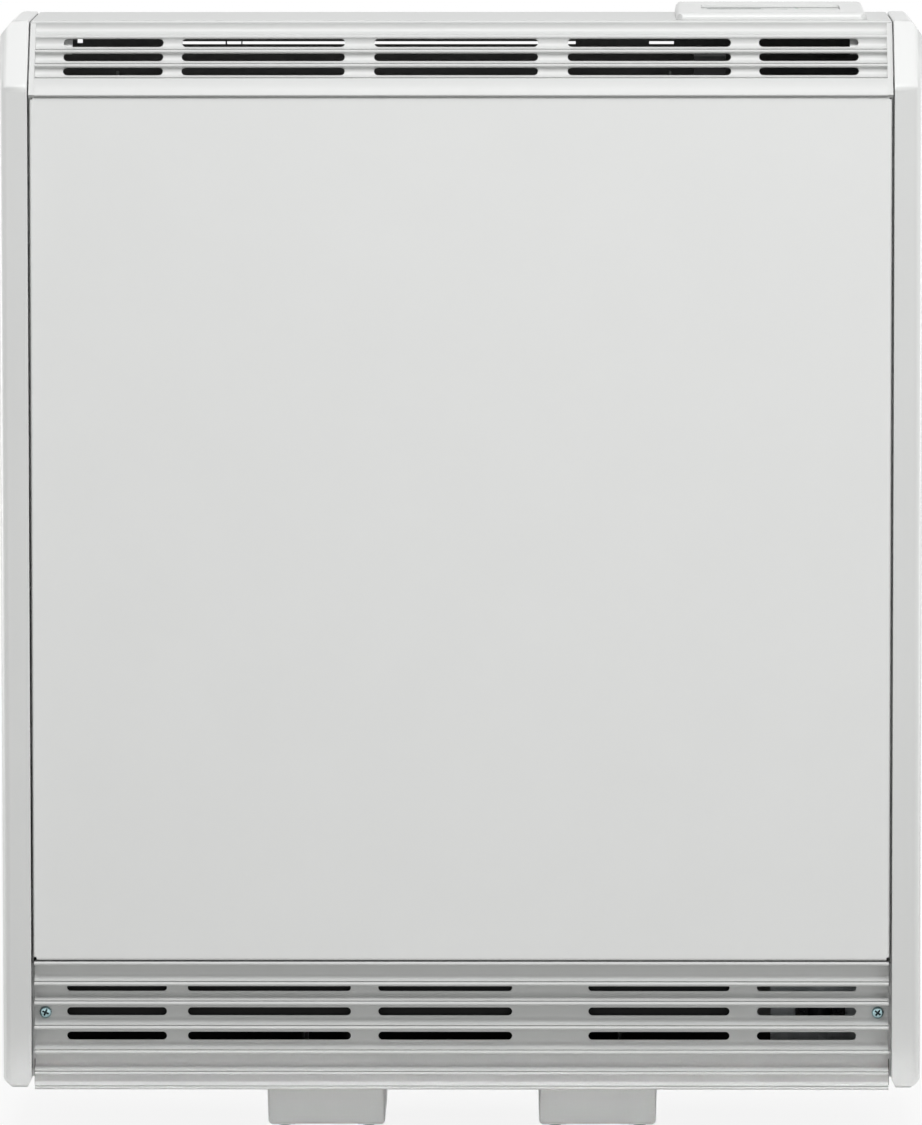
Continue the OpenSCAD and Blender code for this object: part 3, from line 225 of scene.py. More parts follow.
floor_mesh = bpy.data.meshes.new("floor")
floor_form = bmesh.new()
bmesh.ops.create_grid(floor_form, x_segments=1, y_segments=1, size=FLOOR_HALF)
floor_form.to_mesh(floor_mesh)
floor_form.free()
floor = bpy.data.objects.new("floor", floor_mesh)
bpy.context.scene.collection.objects.link(floor)

# Matt paint gives the eye an even tone with no reflection of the heater.
floor_paint, tree, shader, place = new_material("matt white studio floor", Roughness=0.9)
varied(tree, shader, seen_directly(tree), colours=(FLOOR_BOUNCE, FLOOR_SEEN))
shader.inputs["Specular IOR Level"].default_value = FLOOR_GLOSS
glow = add(tree, "ShaderNodeEmission", {"Color": WHITE, "Strength": BACKGROUND_WHITE})
away = add(tree, "ShaderNodeVectorMath", {0: place}, operation="LENGTH").outputs["Value"]
own = add(tree, "ShaderNodeMapRange", {"Value": away, "From Min": WHITE_FROM, "From Max": WHITE_BEYOND,
                                       "To Min": FLOOR_OWN_WHITE, "To Max": BACKGROUND_WHITE})
share = add(tree, "ShaderNodeMath", {0: seen_directly(tree), 1: own.outputs[0]}, operation="MULTIPLY")
mix = add(tree, "ShaderNodeMixShader", {0: share.outputs[0], 1: shader.outputs[0], 2: glow.outputs[0]})
tree.links.new(mix.outputs[0], tree.nodes["Material Output"].inputs["Surface"])
floor_mesh.materials.append(floor_paint)
print("floor keeps", round(1 - FLOOR_OWN_WHITE, 2), "of its shadow near the heater")

# %% [markdown]
# ## Softboxes
# A wide softbox hangs high in front, so that the ribs and flutes shade what is under them, and a weaker one
# nearer to overhead brightens the cover. A tall one stands at the right, where the photograph is a little
# brighter. Near the floor a white card lifts the intake grille, and a thin one sends a narrow beam to the
# feet. The last three stand beside and behind the heater, for its sides and back.

# %% Lamps
LAMPS = {
    # name: place, point it faces, width, height, watts
    "softbox_above": ((0.0, -1.6, 2.7), (0, -0.06, 0.4), 2.0, 0.8, 50.5),
    "softbox_top": ((0.0, -1.0, 2.8), (0, -0.06, 0.4), 2.0, 0.8, 6.0),
    "softbox_right": ((1.7, -1.3, 1.2), (0, -0.06, 0.4), 0.7, 1.6, 8.0),
    "card_low": ((0.0, -1.5, 0.15), (0, -0.06, 0.1), 1.8, 0.3, 2.4),
    "card_feet": ((0.0, -1.0, 0.03), (0, -0.06, 0.008), 1.4, 0.05, 0.075),
    "softbox_left_side": ((-2.0, 0.45, 0.4), (0, 0.1, 0.35), 0.8, 0.6, 18.0),
    "softbox_right_side": ((2.0, 0.45, 0.4), (0, 0.1, 0.35), 0.8, 0.6, 14.0),
    "softbox_back": ((0.0, 2.2, 0.35), (0, 0.08, 0.35), 1.6, 0.5, 9.0),
}
NARROW_BEAM = {"card_feet": math.radians(6.5)}
for name, (spot, target, width, height, watts) in LAMPS.items():
    lamp = bpy.data.lights.new(name, "AREA")
    lamp.shape = "RECTANGLE"
    lamp.size = width
    lamp.size_y = height
    lamp.energy = watts
    lamp.spread = NARROW_BEAM.get(name, math.pi)
    holder = bpy.data.objects.new(name, lamp)
    bpy.context.scene.collection.objects.link(holder)
    holder.location = spot
    holder.rotation_euler = (Vector(target) - Vector(spot)).to_track_quat("-Z", "Y").to_euler()
bpy.context.scene.view_settings.view_transform = "Standard"
print("lamps", sorted(LAMPS))

# %% [markdown]
# ## White finishes
# Two whites share the outside. The sheets are steel with a polyester powder coat: the powder melts in an
# oven and leaves a hard satin skin with a faint orange peel, waves of two or three millimetres. The cheeks,
# pod and feet are injection-moulded ABS: nearly the same white, a little glossier, with the fine even
# texture of a spark-eroded mould. Both are built from soft noise at real sizes, with hardly any colour
# change. The grilles and the top cover get a greyer copy of the panel's coat, which is painted shade: it
# holds down their light beside the panel.

# %% Powder coat and moulded ABS
COAT_CLOUD_MM = 60
COAT_SHEEN_MM = 7
POWDER_PEEL_MM = 2.4
POWDER_PEEL_DEPTH_MM = 0.001
ABS_CLOUD_MM = 90
ABS_SHEEN_MM = 4
ABS_GRAIN_MM = 0.9  # the real grain is about 0.1 mm, too fine to show, so it is drawn coarser
ABS_GRAIN_DEPTH_MM = 0.004


def powder_coated(name, first, second):
    """A satin powder coat between two close colours. The eye gets a broad sheen with a faint ripple."""
    material, tree, shader, place = new_material(name, Roughness=0.42, IOR=1.5)
    cloud = add(tree, "ShaderNodeTexNoise", {"Vector": place, "Scale": per(COAT_CLOUD_MM), "Detail": 3.0})
    varied(tree, shader, cloud.outputs[0], colours=(first, second))
    sheen = add(tree, "ShaderNodeTexNoise", {"Vector": place, "Scale": per(COAT_SHEEN_MM)})
    varied(tree, shader, sheen.outputs[0], roughness=(0.40, 0.44))
    peel = add(tree, "ShaderNodeTexNoise", {"Vector": place, "Scale": per(POWDER_PEEL_MM)})
    varied(tree, shader, peel.outputs[0], depth_mm=POWDER_PEEL_DEPTH_MM)
    return material


powder_coat = powder_coated("white polyester powder coat on steel", "#f0f1f0", "#f3f4f3")
# The grilles and the top cover get a greyer copy of the coat: painted shade.
shaded_grille_coat = powder_coated("greyer white powder coat of the grilles", "#d5d6d5", "#d8d9d8")

# The moulded white gives a tighter sheen than the coat, broken up evenly by the mould's texture.
white_abs, tree, shader, place = new_material("white moulded abs", Roughness=0.36, IOR=1.53)
cloud = add(tree, "ShaderNodeTexNoise", {"Vector": place, "Scale": per(ABS_CLOUD_MM)})
varied(tree, shader, cloud.outputs[0], colours=("#e3e4e3", "#e6e7e6"))
sheen = add(tree, "ShaderNodeTexNoise", {"Vector": place, "Scale": per(ABS_SHEEN_MM)})
varied(tree, shader, sheen.outputs[0], roughness=(0.32, 0.40))
texture = add(tree, "ShaderNodeTexNoise", {"Vector": place, "Scale": per(ABS_GRAIN_MM)})
varied(tree, shader, texture.outputs[0], depth_mm=ABS_GRAIN_DEPTH_MM)
print("white finishes", powder_coat.name, "/", shaded_grille_coat.name, "/", white_abs.name)

# %% [markdown]
# ## Galvanised sheet
# The hidden sheets are hot-dip galvanised steel: zinc freezes on it in flat crystals, the spangle, and each
# crystal mirrors the room a little differently. Cells of a Voronoi pattern are right for that, with one
# grey and one roughness per cell.

# %% Galvanised sheet
SPANGLE_MM = 7.0
ZINC_GRAIN_MM = 1.5
ZINC_GRAIN_DEPTH_MM = 0.004


def spangle(tree, place):
    """The grey and the roughness of the zinc crystals. The eye gets a quiet patchwork of dull mirrors."""
    cells = add(tree, "ShaderNodeTexVoronoi", {"Vector": place, "Scale": per(SPANGLE_MM)})
    shade = add(tree, "ShaderNodeSeparateColor", {"Color": cells.outputs["Color"]}).outputs
    greys = {MIX_FACTOR: shade[0], MIX_FIRST: linear("#a9adb0"), MIX_SECOND: linear("#bcc0c2")}
    grey = add(tree, "ShaderNodeMix", greys, data_type="RGBA")
    rough = add(tree, "ShaderNodeMapRange", {"Value": shade[1], "To Min": 0.38, "To Max": 0.52})
    return grey.outputs[MIX_RESULT], rough.outputs["Result"]


galvanised, tree, shader, place = new_material("hot-dip galvanised steel", Metallic=1.0, Roughness=0.45)
for socket, pattern in zip(("Base Color", "Roughness"), spangle(tree, place)):
    tree.links.new(pattern, shader.inputs[socket])
zinc_grain = add(tree, "ShaderNodeTexNoise", {"Vector": place, "Scale": per(ZINC_GRAIN_MM)})
varied(tree, shader, zinc_grain.outputs[0], depth_mm=ZINC_GRAIN_DEPTH_MM)
print("galvanised sheet", galvanised.name, "spangle", SPANGLE_MM, "mm")

# %% [markdown]
# ## Plated, drawn and turned metals
# The screws have a thin, bluish zinc plating, and their recess is a darker zinc, which is painted shade. The
# heating elements have a steel sheath, which the heat has darkened in patches. The damper's shaft is bright
# drawn steel, with fine lines along it, and the plunger is turned brass, with fine rings round it.

# %% Screws, sheaths, shaft and plunger
PLATING_MM, PLATING_GRAIN_MM = 2.2, 0.5
RECESS_SHADE_CLOUD_MM = 1.0
OXIDE_MM, SCALE_GRAIN_MM = 18, 0.8
TOOL_MARK_MM = 0.4  # real tool marks are about 0.05 mm apart, so these are drawn coarser
ALONG_X = (0.05, 1, 1)  # stretches a grain into lines along the shaft
AROUND_Y = (0.1, 1, 0.1)  # and into rings round the plunger

# Zinc plating gives small, clear, slightly blue highlights on the screws.
zinc_plated, tree, shader, place = new_material("zinc-plated steel", Metallic=1.0, Roughness=0.28)
tint = add(tree, "ShaderNodeTexNoise", {"Vector": place, "Scale": per(PLATING_MM), "Detail": 3.0})
varied(tree, shader, tint.outputs[0], colours=("#7d989c", "#a3bcbf"), roughness=(0.22, 0.36))
fine = add(tree, "ShaderNodeTexNoise", {"Vector": place, "Scale": per(PLATING_GRAIN_MM)})
varied(tree, shader, fine.outputs[0], depth_mm=0.006)

# Painted shade keeps the recess dark beside the bright head, so the cross can be read from afar.
recess_shade_zinc, tree, shader, place = new_material("zinc with painted shade in the driver recess", Metallic=1.0,
                                                Roughness=0.5)
recess_shade_cloud = add(tree, "ShaderNodeTexNoise", {"Vector": place, "Scale": per(RECESS_SHADE_CLOUD_MM)})
varied(tree, shader, recess_shade_cloud.outputs[0], colours=("#243033", "#3a4a4d"))

# Scale from the heat gives the sheath a dull, cloudy brown-grey.
sheath, tree, shader, place = new_material("heat-darkened element sheath", Metallic=1.0, Roughness=0.5)
oxide = add(tree, "ShaderNodeTexNoise", {"Vector": place, "Scale": per(OXIDE_MM), "Detail": 4.0})
varied(tree, shader, oxide.outputs[0], colours=("#4c4a48", "#6d6a63"))
scale = add(tree, "ShaderNodeTexNoise", {"Vector": place, "Scale": per(SCALE_GRAIN_MM)})
varied(tree, shader, scale.outputs[0], depth_mm=0.01)

# Drawing gives the shaft long, thin streaks of light.
bright_steel, tree, shader, place = new_material("bright drawn steel", Metallic=1.0, Roughness=0.22)
lines = add(tree, "ShaderNodeMapping", {"Vector": place, "Scale": ALONG_X}).outputs["Vector"]
drawn = add(tree, "ShaderNodeTexNoise", {"Vector": lines, "Scale": per(TOOL_MARK_MM)})
varied(tree, shader, drawn.outputs[0], colours=("#b9bbbd", "#cfd1d2"), depth_mm=0.003)

# Turning gives the brass a warm band of light, crossed by fine rings.
brass, tree, shader, place = new_material("turned brass", Metallic=1.0, Roughness=0.3)
rings = add(tree, "ShaderNodeMapping", {"Vector": place, "Scale": AROUND_Y}).outputs["Vector"]
turning = add(tree, "ShaderNodeTexNoise", {"Vector": rings, "Scale": per(TOOL_MARK_MM)})
varied(tree, shader, turning.outputs[0], colours=("#b4935a", "#c9a96a"), depth_mm=0.004)
print("metals", zinc_plated.name, recess_shade_zinc.name, sheath.name, bright_steel.name, brass.name)

# %% [markdown]
# ## Moulded plastics and rubber
# The pod's fascia, the buttons and the tray are moulded ABS in light greys, and the display sits in a
# darker housing. Nylon parts near the heat are black and dull, and the terminal block is ivory polyamide.
# Rubber gets a high, dusty roughness. All share one recipe with sizes of their own.

# %% Moulded plastics and rubber
CLOUD_MM = 25
ROUGHNESS_SWING = 0.04


def moulded(name, first, second, roughness, grain_mm, depth_mm, ior=1.5):
    """A moulded plastic: two close colours in soft clouds, with a fine even grain."""
    material, tree, shader, place = new_material(name, Roughness=roughness, IOR=ior)
    cloud = add(tree, "ShaderNodeTexNoise", {"Vector": place, "Scale": per(CLOUD_MM), "Detail": 3.0})
    varied(tree, shader, cloud.outputs[0], colours=(first, second))
    even = add(tree, "ShaderNodeTexNoise", {"Vector": place, "Scale": per(grain_mm)})
    swing = (roughness - ROUGHNESS_SWING, roughness + ROUGHNESS_SWING)
    varied(tree, shader, even.outputs[0], roughness=swing, depth_mm=depth_mm)
    return material


# The fascia and the buttons give a calm, even grey: the buttons are a little darker and duller.
fascia_abs = moulded("light grey moulded abs fascia", "#d6d8d6", "#dadcda", roughness=0.4,
                     grain_mm=0.9, depth_mm=0.004)
button_abs = moulded("grey moulded abs buttons", "#bfc2c0", "#c4c7c5", roughness=0.45,
                     grain_mm=0.7, depth_mm=0.006)
# The housing is smooth and grey, so it shows through the window as a plain darker field.
display_housing = moulded("dark grey display housing", "#8d9391", "#959b98", roughness=0.35,
                          grain_mm=1.0, depth_mm=0.002)
# Glass fibres near its skin leave the nylon dull, and rubber swallows nearly all light.
black_nylon = moulded("black glass-filled nylon", "#1d1d1e", "#232324", roughness=0.6,
                      grain_mm=0.6, depth_mm=0.012, ior=1.53)
rubber = moulded("black epdm rubber", "#1f1f20", "#282829", roughness=0.8,
                 grain_mm=0.8, depth_mm=0.01, ior=1.52)
# Ivory polyamide gives a soft, waxy sheen.
ivory_nylon = moulded("ivory polyamide", "#d9d4c3", "#dfdacb", roughness=0.45,
                      grain_mm=0.9, depth_mm=0.006, ior=1.53)
print("plastics", fascia_abs.name, "/", display_housing.name, "/", black_nylon.name, "/", rubber.name)

# %% [markdown]
# ## Window and lens
# The display's window is clear polycarbonate with a slight smoke tint and a fine matt face. The status
# light is seen through a short light guide of milky acrylic, which spreads a small lamp's light evenly.

# %% Window and lens
SMOKE_MM = 30
MILK_MM = 1.5

# The matt face keeps reflections of the room off the display and blurs what lies behind.
smoked_window, tree, shader, place = new_material("smoked polycarbonate window", Roughness=0.3, IOR=1.585,
                                                  Transmission_Weight=0.9)
smoke = add(tree, "ShaderNodeTexNoise", {"Vector": place, "Scale": per(SMOKE_MM)})
varied(tree, shader, smoke.outputs[0], colours=("#8d9492", "#959c9a"))

# Light that wanders inside gives the lens a soft edge and a milky, faintly green look.
clear_lens, tree, shader, place = new_material("milky light-guide lens", Roughness=0.2, IOR=1.49,
                                               Subsurface_Weight=0.3, Subsurface_Scale=MILK_MM * MM)
milk = add(tree, "ShaderNodeTexNoise", {"Vector": place, "Scale": per(MILK_MM)})
varied(tree, shader, milk.outputs[0], colours=("#c5d6ca", "#d3e2d7"))
print("window and lens", smoked_window.name, "/", clear_lens.name)

# %% [markdown]
# ## Boards, bricks and wool
# Inside are materials that only the slots and open views show: green glass-fibre circuit boards, dense dark
# storage bricks pressed from magnetite, and rigid boards of pale mineral wool. They get coarse, natural
# grain.

# %% Inner materials
TRACKS_MM = 3
BRICK_CLOUD_MM, GRIT_MM = 9, 1.6
FIBRE_MM = 1.2
FIBRES_LEVEL = (1, 1, 0.25)

# Lacquer over copper tracks gives a glossy green with paler patches.
circuit_board, tree, shader, place = new_material("green glass-fibre circuit board", Roughness=0.35,
                                                  IOR=1.55)
tracks = add(tree, "ShaderNodeTexVoronoi", {"Vector": place, "Scale": per(TRACKS_MM)}, distance="MANHATTAN")
varied(tree, shader, tracks.outputs["Distance"], colours=("#1f5238", "#2d6a4b"))

# Pressed grit gives the bricks a dark, dry face without any highlight.
magnetite, tree, shader, place = new_material("pressed magnetite brick", Roughness=0.85, IOR=1.6)
stains = add(tree, "ShaderNodeTexNoise", {"Vector": place, "Scale": per(BRICK_CLOUD_MM), "Detail": 5.0})
varied(tree, shader, stains.outputs[0], colours=("#2b2725", "#453f3b"))
grit = add(tree, "ShaderNodeTexVoronoi", {"Vector": place, "Scale": per(GRIT_MM)})
varied(tree, shader, grit.outputs["Distance"], depth_mm=0.12)

# Pressed fibres give the wool a soft, chalky face with short streaks.
wool_board, tree, shader, place = new_material("mineral wool board", Roughness=0.95, IOR=1.45)
flattened = add(tree, "ShaderNodeMapping", {"Vector": place, "Scale": FIBRES_LEVEL}).outputs["Vector"]
fibres = add(tree, "ShaderNodeTexNoise", {"Vector": flattened, "Scale": per(FIBRE_MM), "Detail": 5.0,
                                          "Roughness": 0.7})
varied(tree, shader, fibres.outputs[0], colours=("#b5ab90", "#d8cfb6"), depth_mm=0.25)
print("inner materials", circuit_board.name, "/", magnetite.name, "/", wool_board.name)

# %% [markdown]
# ## Heat-resistant paints
# The sheets round the store are painted where air passes: silicone paint stands the heat and stops rust. Its
# black in the air's path is painted shade, which keeps the slots dark, and a darker black in the air inlet
# is painted shade too. It is grey round the damper, where the photograph shows lighter shapes. Sprayed and
# baked, it is dull and slightly sandy.

# %% Heat-resistant paints
PAINT_CLOUD_MM, PAINT_GRAIN_MM = 14, 0.8


def heat_painted(name, first, second):
    """Baked paint on an inner sheet. The eye gets a flat tone without a sheen, as in the slots."""
    material, tree, shader, place = new_material(name, Roughness=0.75, IOR=1.5)
    cloud = add(tree, "ShaderNodeTexNoise", {"Vector": place, "Scale": per(PAINT_CLOUD_MM), "Detail": 3.0})
    varied(tree, shader, cloud.outputs[0], colours=(first, second))
    sandy = add(tree, "ShaderNodeTexNoise", {"Vector": place, "Scale": per(PAINT_GRAIN_MM)})
    varied(tree, shader, sandy.outputs[0], depth_mm=0.01)
    return material


# Black and a darker black are painted shade, which keeps the slots and the air inlet dark.
slot_shade_black = heat_painted("black paint on steel, painted shade in the slots", "#262626", "#2e2e2d")
inlet_shade_black = heat_painted("darker black paint, painted shade in the air inlet", "#161616", "#1c1c1b")
heat_grey = heat_painted("heat-resistant grey paint on steel", "#a2a2a1", "#acacab")
print("paints", slot_shade_black.name, "/", inlet_shade_black.name, "/", heat_grey.name)

# %% [markdown]
# ## The back panel's two faces
# The back panel is galvanised sheet that is painted on its inner side only, as coil-coated sheet can be.
# From behind it shows its spangle, and through the outlet slots it shows dull grey. One material does both:
# it is zinc at the outer face and paint everywhere ahead of it.

# %% Back panel sheet
SKIN_MM = 0.3
PAINT_ROUGHNESS = 0.75

back_sheet, tree, shader, place = new_material("galvanised sheet, painted grey inside")
outer_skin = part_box("back_panel")[1].y - SKIN_MM * MM
along = add(tree, "ShaderNodeSeparateXYZ", {"Vector": place}).outputs["Y"]
outside = add(tree, "ShaderNodeMath", {0: along, 1: outer_skin}, operation="GREATER_THAN").outputs[0]
zinc_grey, zinc_rough = spangle(tree, place)
varied(tree, shader, outside, colours=("#a5a5a4", zinc_grey))
tree.links.new(outside, shader.inputs["Metallic"])
rough = add(tree, "ShaderNodeMix", {0: outside, 2: PAINT_ROUGHNESS, 3: zinc_rough}, data_type="FLOAT")
tree.links.new(rough.outputs[0], shader.inputs["Roughness"])
zinc_grain = add(tree, "ShaderNodeTexNoise", {"Vector": place, "Scale": per(ZINC_GRAIN_MM)})
varied(tree, shader, zinc_grain.outputs[0], depth_mm=ZINC_GRAIN_DEPTH_MM)
print("back panel is zinc from y", round(outer_skin, 4), "on")

# %% [markdown]
# ## Every node gets its finish
# The record names a material slot for each node, and one table turns the slots into these finishes. The
# painted inner sheets, whose blacks are painted shade, the back panel and the top cover, in the greyer coat
# that is painted shade, have a table of their own. A node keeps its place and mesh: only its material slots
# change.

# %% Finishes on the nodes
FINISH = {
    "white_powder_coat": powder_coat,
    "white_moulding": white_abs,
    "galvanised_sheet": galvanised,
    "zinc_screw": zinc_plated,
    "fascia_moulding": fascia_abs,
    "smoked_window": smoked_window,
    "display_black": display_housing,
    "lens_clear": clear_lens,
    "button_moulding": button_abs,
    "black_moulding": black_nylon,
    "dark_rubber": rubber,
    "circuit_board": circuit_board,
    "ceramic_wool_board": wool_board,
    "storage_brick": magnetite,
    "element_sheath": sheath,
    "shaft_steel": bright_steel,
    "brass_plunger": brass,
    "terminal_moulding": ivory_nylon,
}
PAINTED = {
    "case_shell": slot_shade_black, "case_back": slot_shade_black,
    "case_front": inlet_shade_black, "core_rails": inlet_shade_black, "base_tray": inlet_shade_black, "leg_brackets": inlet_shade_black,
    "case_top": heat_grey, "damper_flap": heat_grey, "damper_bearings": heat_grey,
    "back_panel": back_sheet, "top_cover": shaded_grille_coat,
}
slot_of = {part["node"]: part["material_slot"] for part in frame["record"]["subparts"]}
for name, node in nodes.items():
    node.data.materials.clear()
    node.data.materials.append(PAINTED.get(name, FINISH[slot_of[name]]))
print("finished nodes", len(slot_of))

# %% [markdown]
# ## Outlines and sweeps
# Both grilles are white profiles that run the heater's whole width, with rounded slots through them. Such a
# form is easiest to get right from its section: an outline in millimetres is swept along X, and the slots
# are cut with long rounded pegs. Fine steps on every curve keep the light on it smooth.

# %% Outline tools
CURVE_STEP = 5  # degrees of arc from one strip of a curved face to the next


def arc(centre, radius, start, end):
    """Points of an arc from one angle to another, in degrees, in the plane of an outline."""
    steps = max(2, round(abs(end - start) / CURVE_STEP))
    angles = [math.radians(start + (end - start) * i / steps) for i in range(steps + 1)]
    return [(centre[0] + radius * math.cos(a), centre[1] + radius * math.sin(a)) for a in angles]


def sweep(form, outline, x0, x1, turn=0.0, start=(0.0, 0.0)):
    """Adds a solid that runs a closed outline along X. The outline may be turned and moved in its plane."""
    cos, sin = math.cos(turn), math.sin(turn)
    placed = [(start[0] + y * cos + z * sin, start[1] - y * sin + z * cos) for y, z in outline]
    near, far = ([form.verts.new((x * MM, y * MM, z * MM)) for y, z in placed] for x in (x0, x1))
    sides = [form.faces.new((near[i - 1], near[i], far[i], far[i - 1])) for i in range(len(placed))]
    bmesh.ops.recalc_face_normals(form, faces=sides + [form.faces.new(near), form.faces.new(far)])


def peg(form, x0, x1, height, low, high):
    """Adds a long peg with round ends. low and high give a point at each end of it for (x, height)."""
    r = height / 2
    outline = arc((x1 - r, 0), r, -90, 90) + arc((x0 + r, 0), r, 90, 270)
    ends = [[form.verts.new(Vector(place(x, h)) * MM) for x, h in outline] for place in (low, high)]
    count = len(outline)
    sides = [form.faces.new((ends[0][i - 1], ends[0][i], ends[1][i], ends[1][i - 1])) for i in range(count)]
    bmesh.ops.recalc_face_normals(form, faces=sides + [form.faces.new(end) for end in ends])


print("outline tools ready; a half circle has", len(arc((0, 0), 1, 0, 180)), "points")

# %% [markdown]
# ## Cutting and standing in
# A milled slot has crisp rims, so the pegs are taken out with an exact boolean, and only the curves
# between creases are shaded smooth. A finished piece then stands in for its node of the frame: it
# takes over the node's body and gets a finish of its own, and the node is hidden.

# %% Cutting tools
CREASE_ABOVE = math.radians(32)


def shown(form, name):
    """A new object from a finished form."""
    mesh = bpy.data.meshes.new(name)
    form.to_mesh(mesh)
    form.free()
    piece = bpy.data.objects.new(name, mesh)
    bpy.context.scene.collection.objects.link(piece)
    return piece


def cut_by(piece, cutters):
    """Takes the cutters' form out of a piece, then shades its curves smooth between creases."""
    tool = shown(cutters, piece.name + "_cut")
    hole = piece.modifiers.new("slots", "BOOLEAN")
    hole.object = tool
    hole.solver = "EXACT"
    bpy.context.view_layer.update()
    mesh = bpy.data.meshes.new_from_object(piece.evaluated_get(bpy.context.evaluated_depsgraph_get()))
    piece.modifiers.clear()
    piece.data = mesh
    bpy.data.objects.remove(tool)
    for face in mesh.polygons:
        face.use_smooth = True
    mesh.set_sharp_from_angle(angle=CREASE_ABOVE)


def stand_for(piece, node, finish):
    """The piece takes the body of a node of the frame and the given finish, and the node is hidden."""
    piece.data.materials.append(finish)
    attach(piece, body_of[node])
    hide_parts(node)


body_of = {name: body for body, names in frame["record"]["behaviour"]["bodies"].items() for name in names}
print("cutting tools ready; nodes with a body", len(body_of))

# %% [markdown]
# ## The outlet grille
# Warm air leaves through this sloping face. It is one profile, such as an aluminium extrusion: a plain,
# slightly crowned band along the bottom, then four deep round flutes with thin half-round ribs between
# them. A flute's upper end turns down under the rib, so it lies in shade, and its lower end ends in a lip
# over a narrow groove, which draws a dark line above each rib. These are its sizes, in millimetres up the
# slope and in depth behind the slope's plane.

# %% Outlet grille sizes
SLOPE = math.radians(38)
SLOPE_FOOT = (-74.6, 661.6)
SLOPE_LENGTH = 57.6
OUTLET_X = 272.0
OUTLET_BORDER = 3.4
OUTLET_WALL = 1.2
END_PLATE_DEPTH, END_PLATE_BELOW_TOP = 4.6, 2.6
GROOVE_DEPTH = 2.6
GROOVE_RISE = 0.1
GROOVE_BACK = GROOVE_DEPTH + OUTLET_WALL
BAND_FOOT_POINT, BAND_FOOT_CURVE = (0.9, -0.5), ((0.75, 0.35), 0.85, -110, -178)  # curve as arc takes it
BAND_FACE, BAND_CROWN, BAND_STEPS = -0.1, 0.42, 10
BAND_FROM, BAND_TOP = 1.2, 12.7
BAND_RISE = BAND_TOP - 1.5
BAND_EDGE = [(0.15, BAND_TOP - 0.05), (GROOVE_DEPTH, BAND_TOP + 0.15)]
BAND_BACK = [(1.2, -0.5), (0.9, 1.2), (0.9, BAND_TOP - 1.2), (GROOVE_BACK, BAND_TOP - 1.0)]
RIB_PITCH = 10.9
RIBS = [22.4 + k * RIB_PITCH for k in range(3)]  # the last one is the rounded edge below the top flute
RIB_R, RIB_DEPTH = 1.05, 0.1
RIB_FROM, RIB_TO = 300, 90  # degrees
RIB_BACK_RISE = 0.3
FLUTE_R, FLUTE_DEPTH, FLUTE_BELOW_RIB = 4.47, 3.13, 4.47
FLUTE_FOOT, FLUTE_HEAD = -45.0, 60.0  # degrees from a flute's deepest line, as its surface turns
FLUTE_BACK_FOOT, FLUTE_BACK_HEAD = -25, 45
LIP_SLANT = 0.15
EDGE_NOSE, EDGE_NOSE_R = (0.8, RIBS[-1] + 0.8), 1.3
TOP_FLUTE, TOP_FLUTE_R, TOP_FLUTE_TURN = (-3.11, 50.5), 5.43, 55.0
TOP_BACK_FOOT, TOP_BACK_HEAD = -30, 42
print("outlet ribs at", [round(rib, 1) for rib in RIBS], "mm up the slope")

# %% [markdown]
# ## The outlet grille's outline
# The front is drawn upwards: the band first, then each flute with the rib over it. The back follows the
# same flutes one wall further in, without their lips and grooves. A plain plate closes each end.

# %% Outlet grille
front = [BAND_FOOT_POINT] + arc(*BAND_FOOT_CURVE)
for i in range(BAND_STEPS + 1):
    crown = BAND_CROWN * math.sin(math.pi * i / BAND_STEPS)
    front.append((BAND_FACE - crown, BAND_FROM + BAND_RISE * i / BAND_STEPS))
front += BAND_EDGE
back = list(BAND_BACK)
for rib in RIBS:
    centre = (FLUTE_DEPTH - FLUTE_R, rib - FLUTE_BELOW_RIB)
    flute = arc(centre, FLUTE_R, FLUTE_FOOT, FLUTE_HEAD)
    front += [(GROOVE_DEPTH, flute[0][1] - LIP_SLANT)] + flute
    back += arc(centre, FLUTE_R + OUTLET_WALL, FLUTE_BACK_FOOT, FLUTE_BACK_HEAD)
    if rib != RIBS[-1]:
        front += arc((RIB_DEPTH, rib), RIB_R, RIB_FROM, RIB_TO) + [(GROOVE_DEPTH, rib + RIB_R + GROOVE_RISE)]
        back += [(GROOVE_BACK, rib + RIB_BACK_RISE)]
front += arc(EDGE_NOSE, EDGE_NOSE_R, 270, 180 - TOP_FLUTE_TURN)
front += arc(TOP_FLUTE, TOP_FLUTE_R, -TOP_FLUTE_TURN, TOP_FLUTE_TURN)
back += arc(TOP_FLUTE, TOP_FLUTE_R + OUTLET_WALL, TOP_BACK_FOOT, TOP_BACK_HEAD)
back.reverse()
form = bmesh.new()
sweep(form, front + back, -OUTLET_X + OUTLET_BORDER, OUTLET_X - OUTLET_BORDER, SLOPE, SLOPE_FOOT)
plate_top = SLOPE_LENGTH - END_PLATE_BELOW_TOP
end_plate = [(0, 0), (0, plate_top), (END_PLATE_DEPTH, plate_top), (END_PLATE_DEPTH, 0)]
for x in (-OUTLET_X, OUTLET_X - OUTLET_BORDER):
    sweep(form, end_plate, x, x + OUTLET_BORDER, SLOPE, SLOPE_FOOT)
outlet_grille = shown(form, "outlet_grille")
print("outline points", len(front + back))

# %% [markdown]
# ## Slots of the outlet grille
# The five slots of a row have the same places in all rows: two short ones at the ends and three long ones.
# On the real piece they would be milled through the wall. Here they are cut from behind each rib's front,
# and rise a little as they go in, so that no wall of a slot shows.

# %% Outlet slots
OUTLET_SLOTS = [(-250.7, -187.76), (-176.06, -73.19), (-54.69, 48.59), (67.29, 170.26), (187.96, 250.7)]
OUTLET_SLOT = 6.0
SLOT_BELOW_RIB = 3.15
SLOT_RISE = 2.5
SLOT_START, SLOT_END = 0.75, 8
up = Vector((0, math.sin(SLOPE), math.cos(SLOPE)))
into = Vector((0, math.cos(SLOPE), -math.sin(SLOPE)))
foot = Vector((0, *SLOPE_FOOT))


def sloping(row, depth, rise=0.0):
    """Places a peg's end at a depth behind the slope's plane, and a rise above its row."""
    return lambda x, h: Vector((x, 0, 0)) + row + up * (h + rise) + into * depth


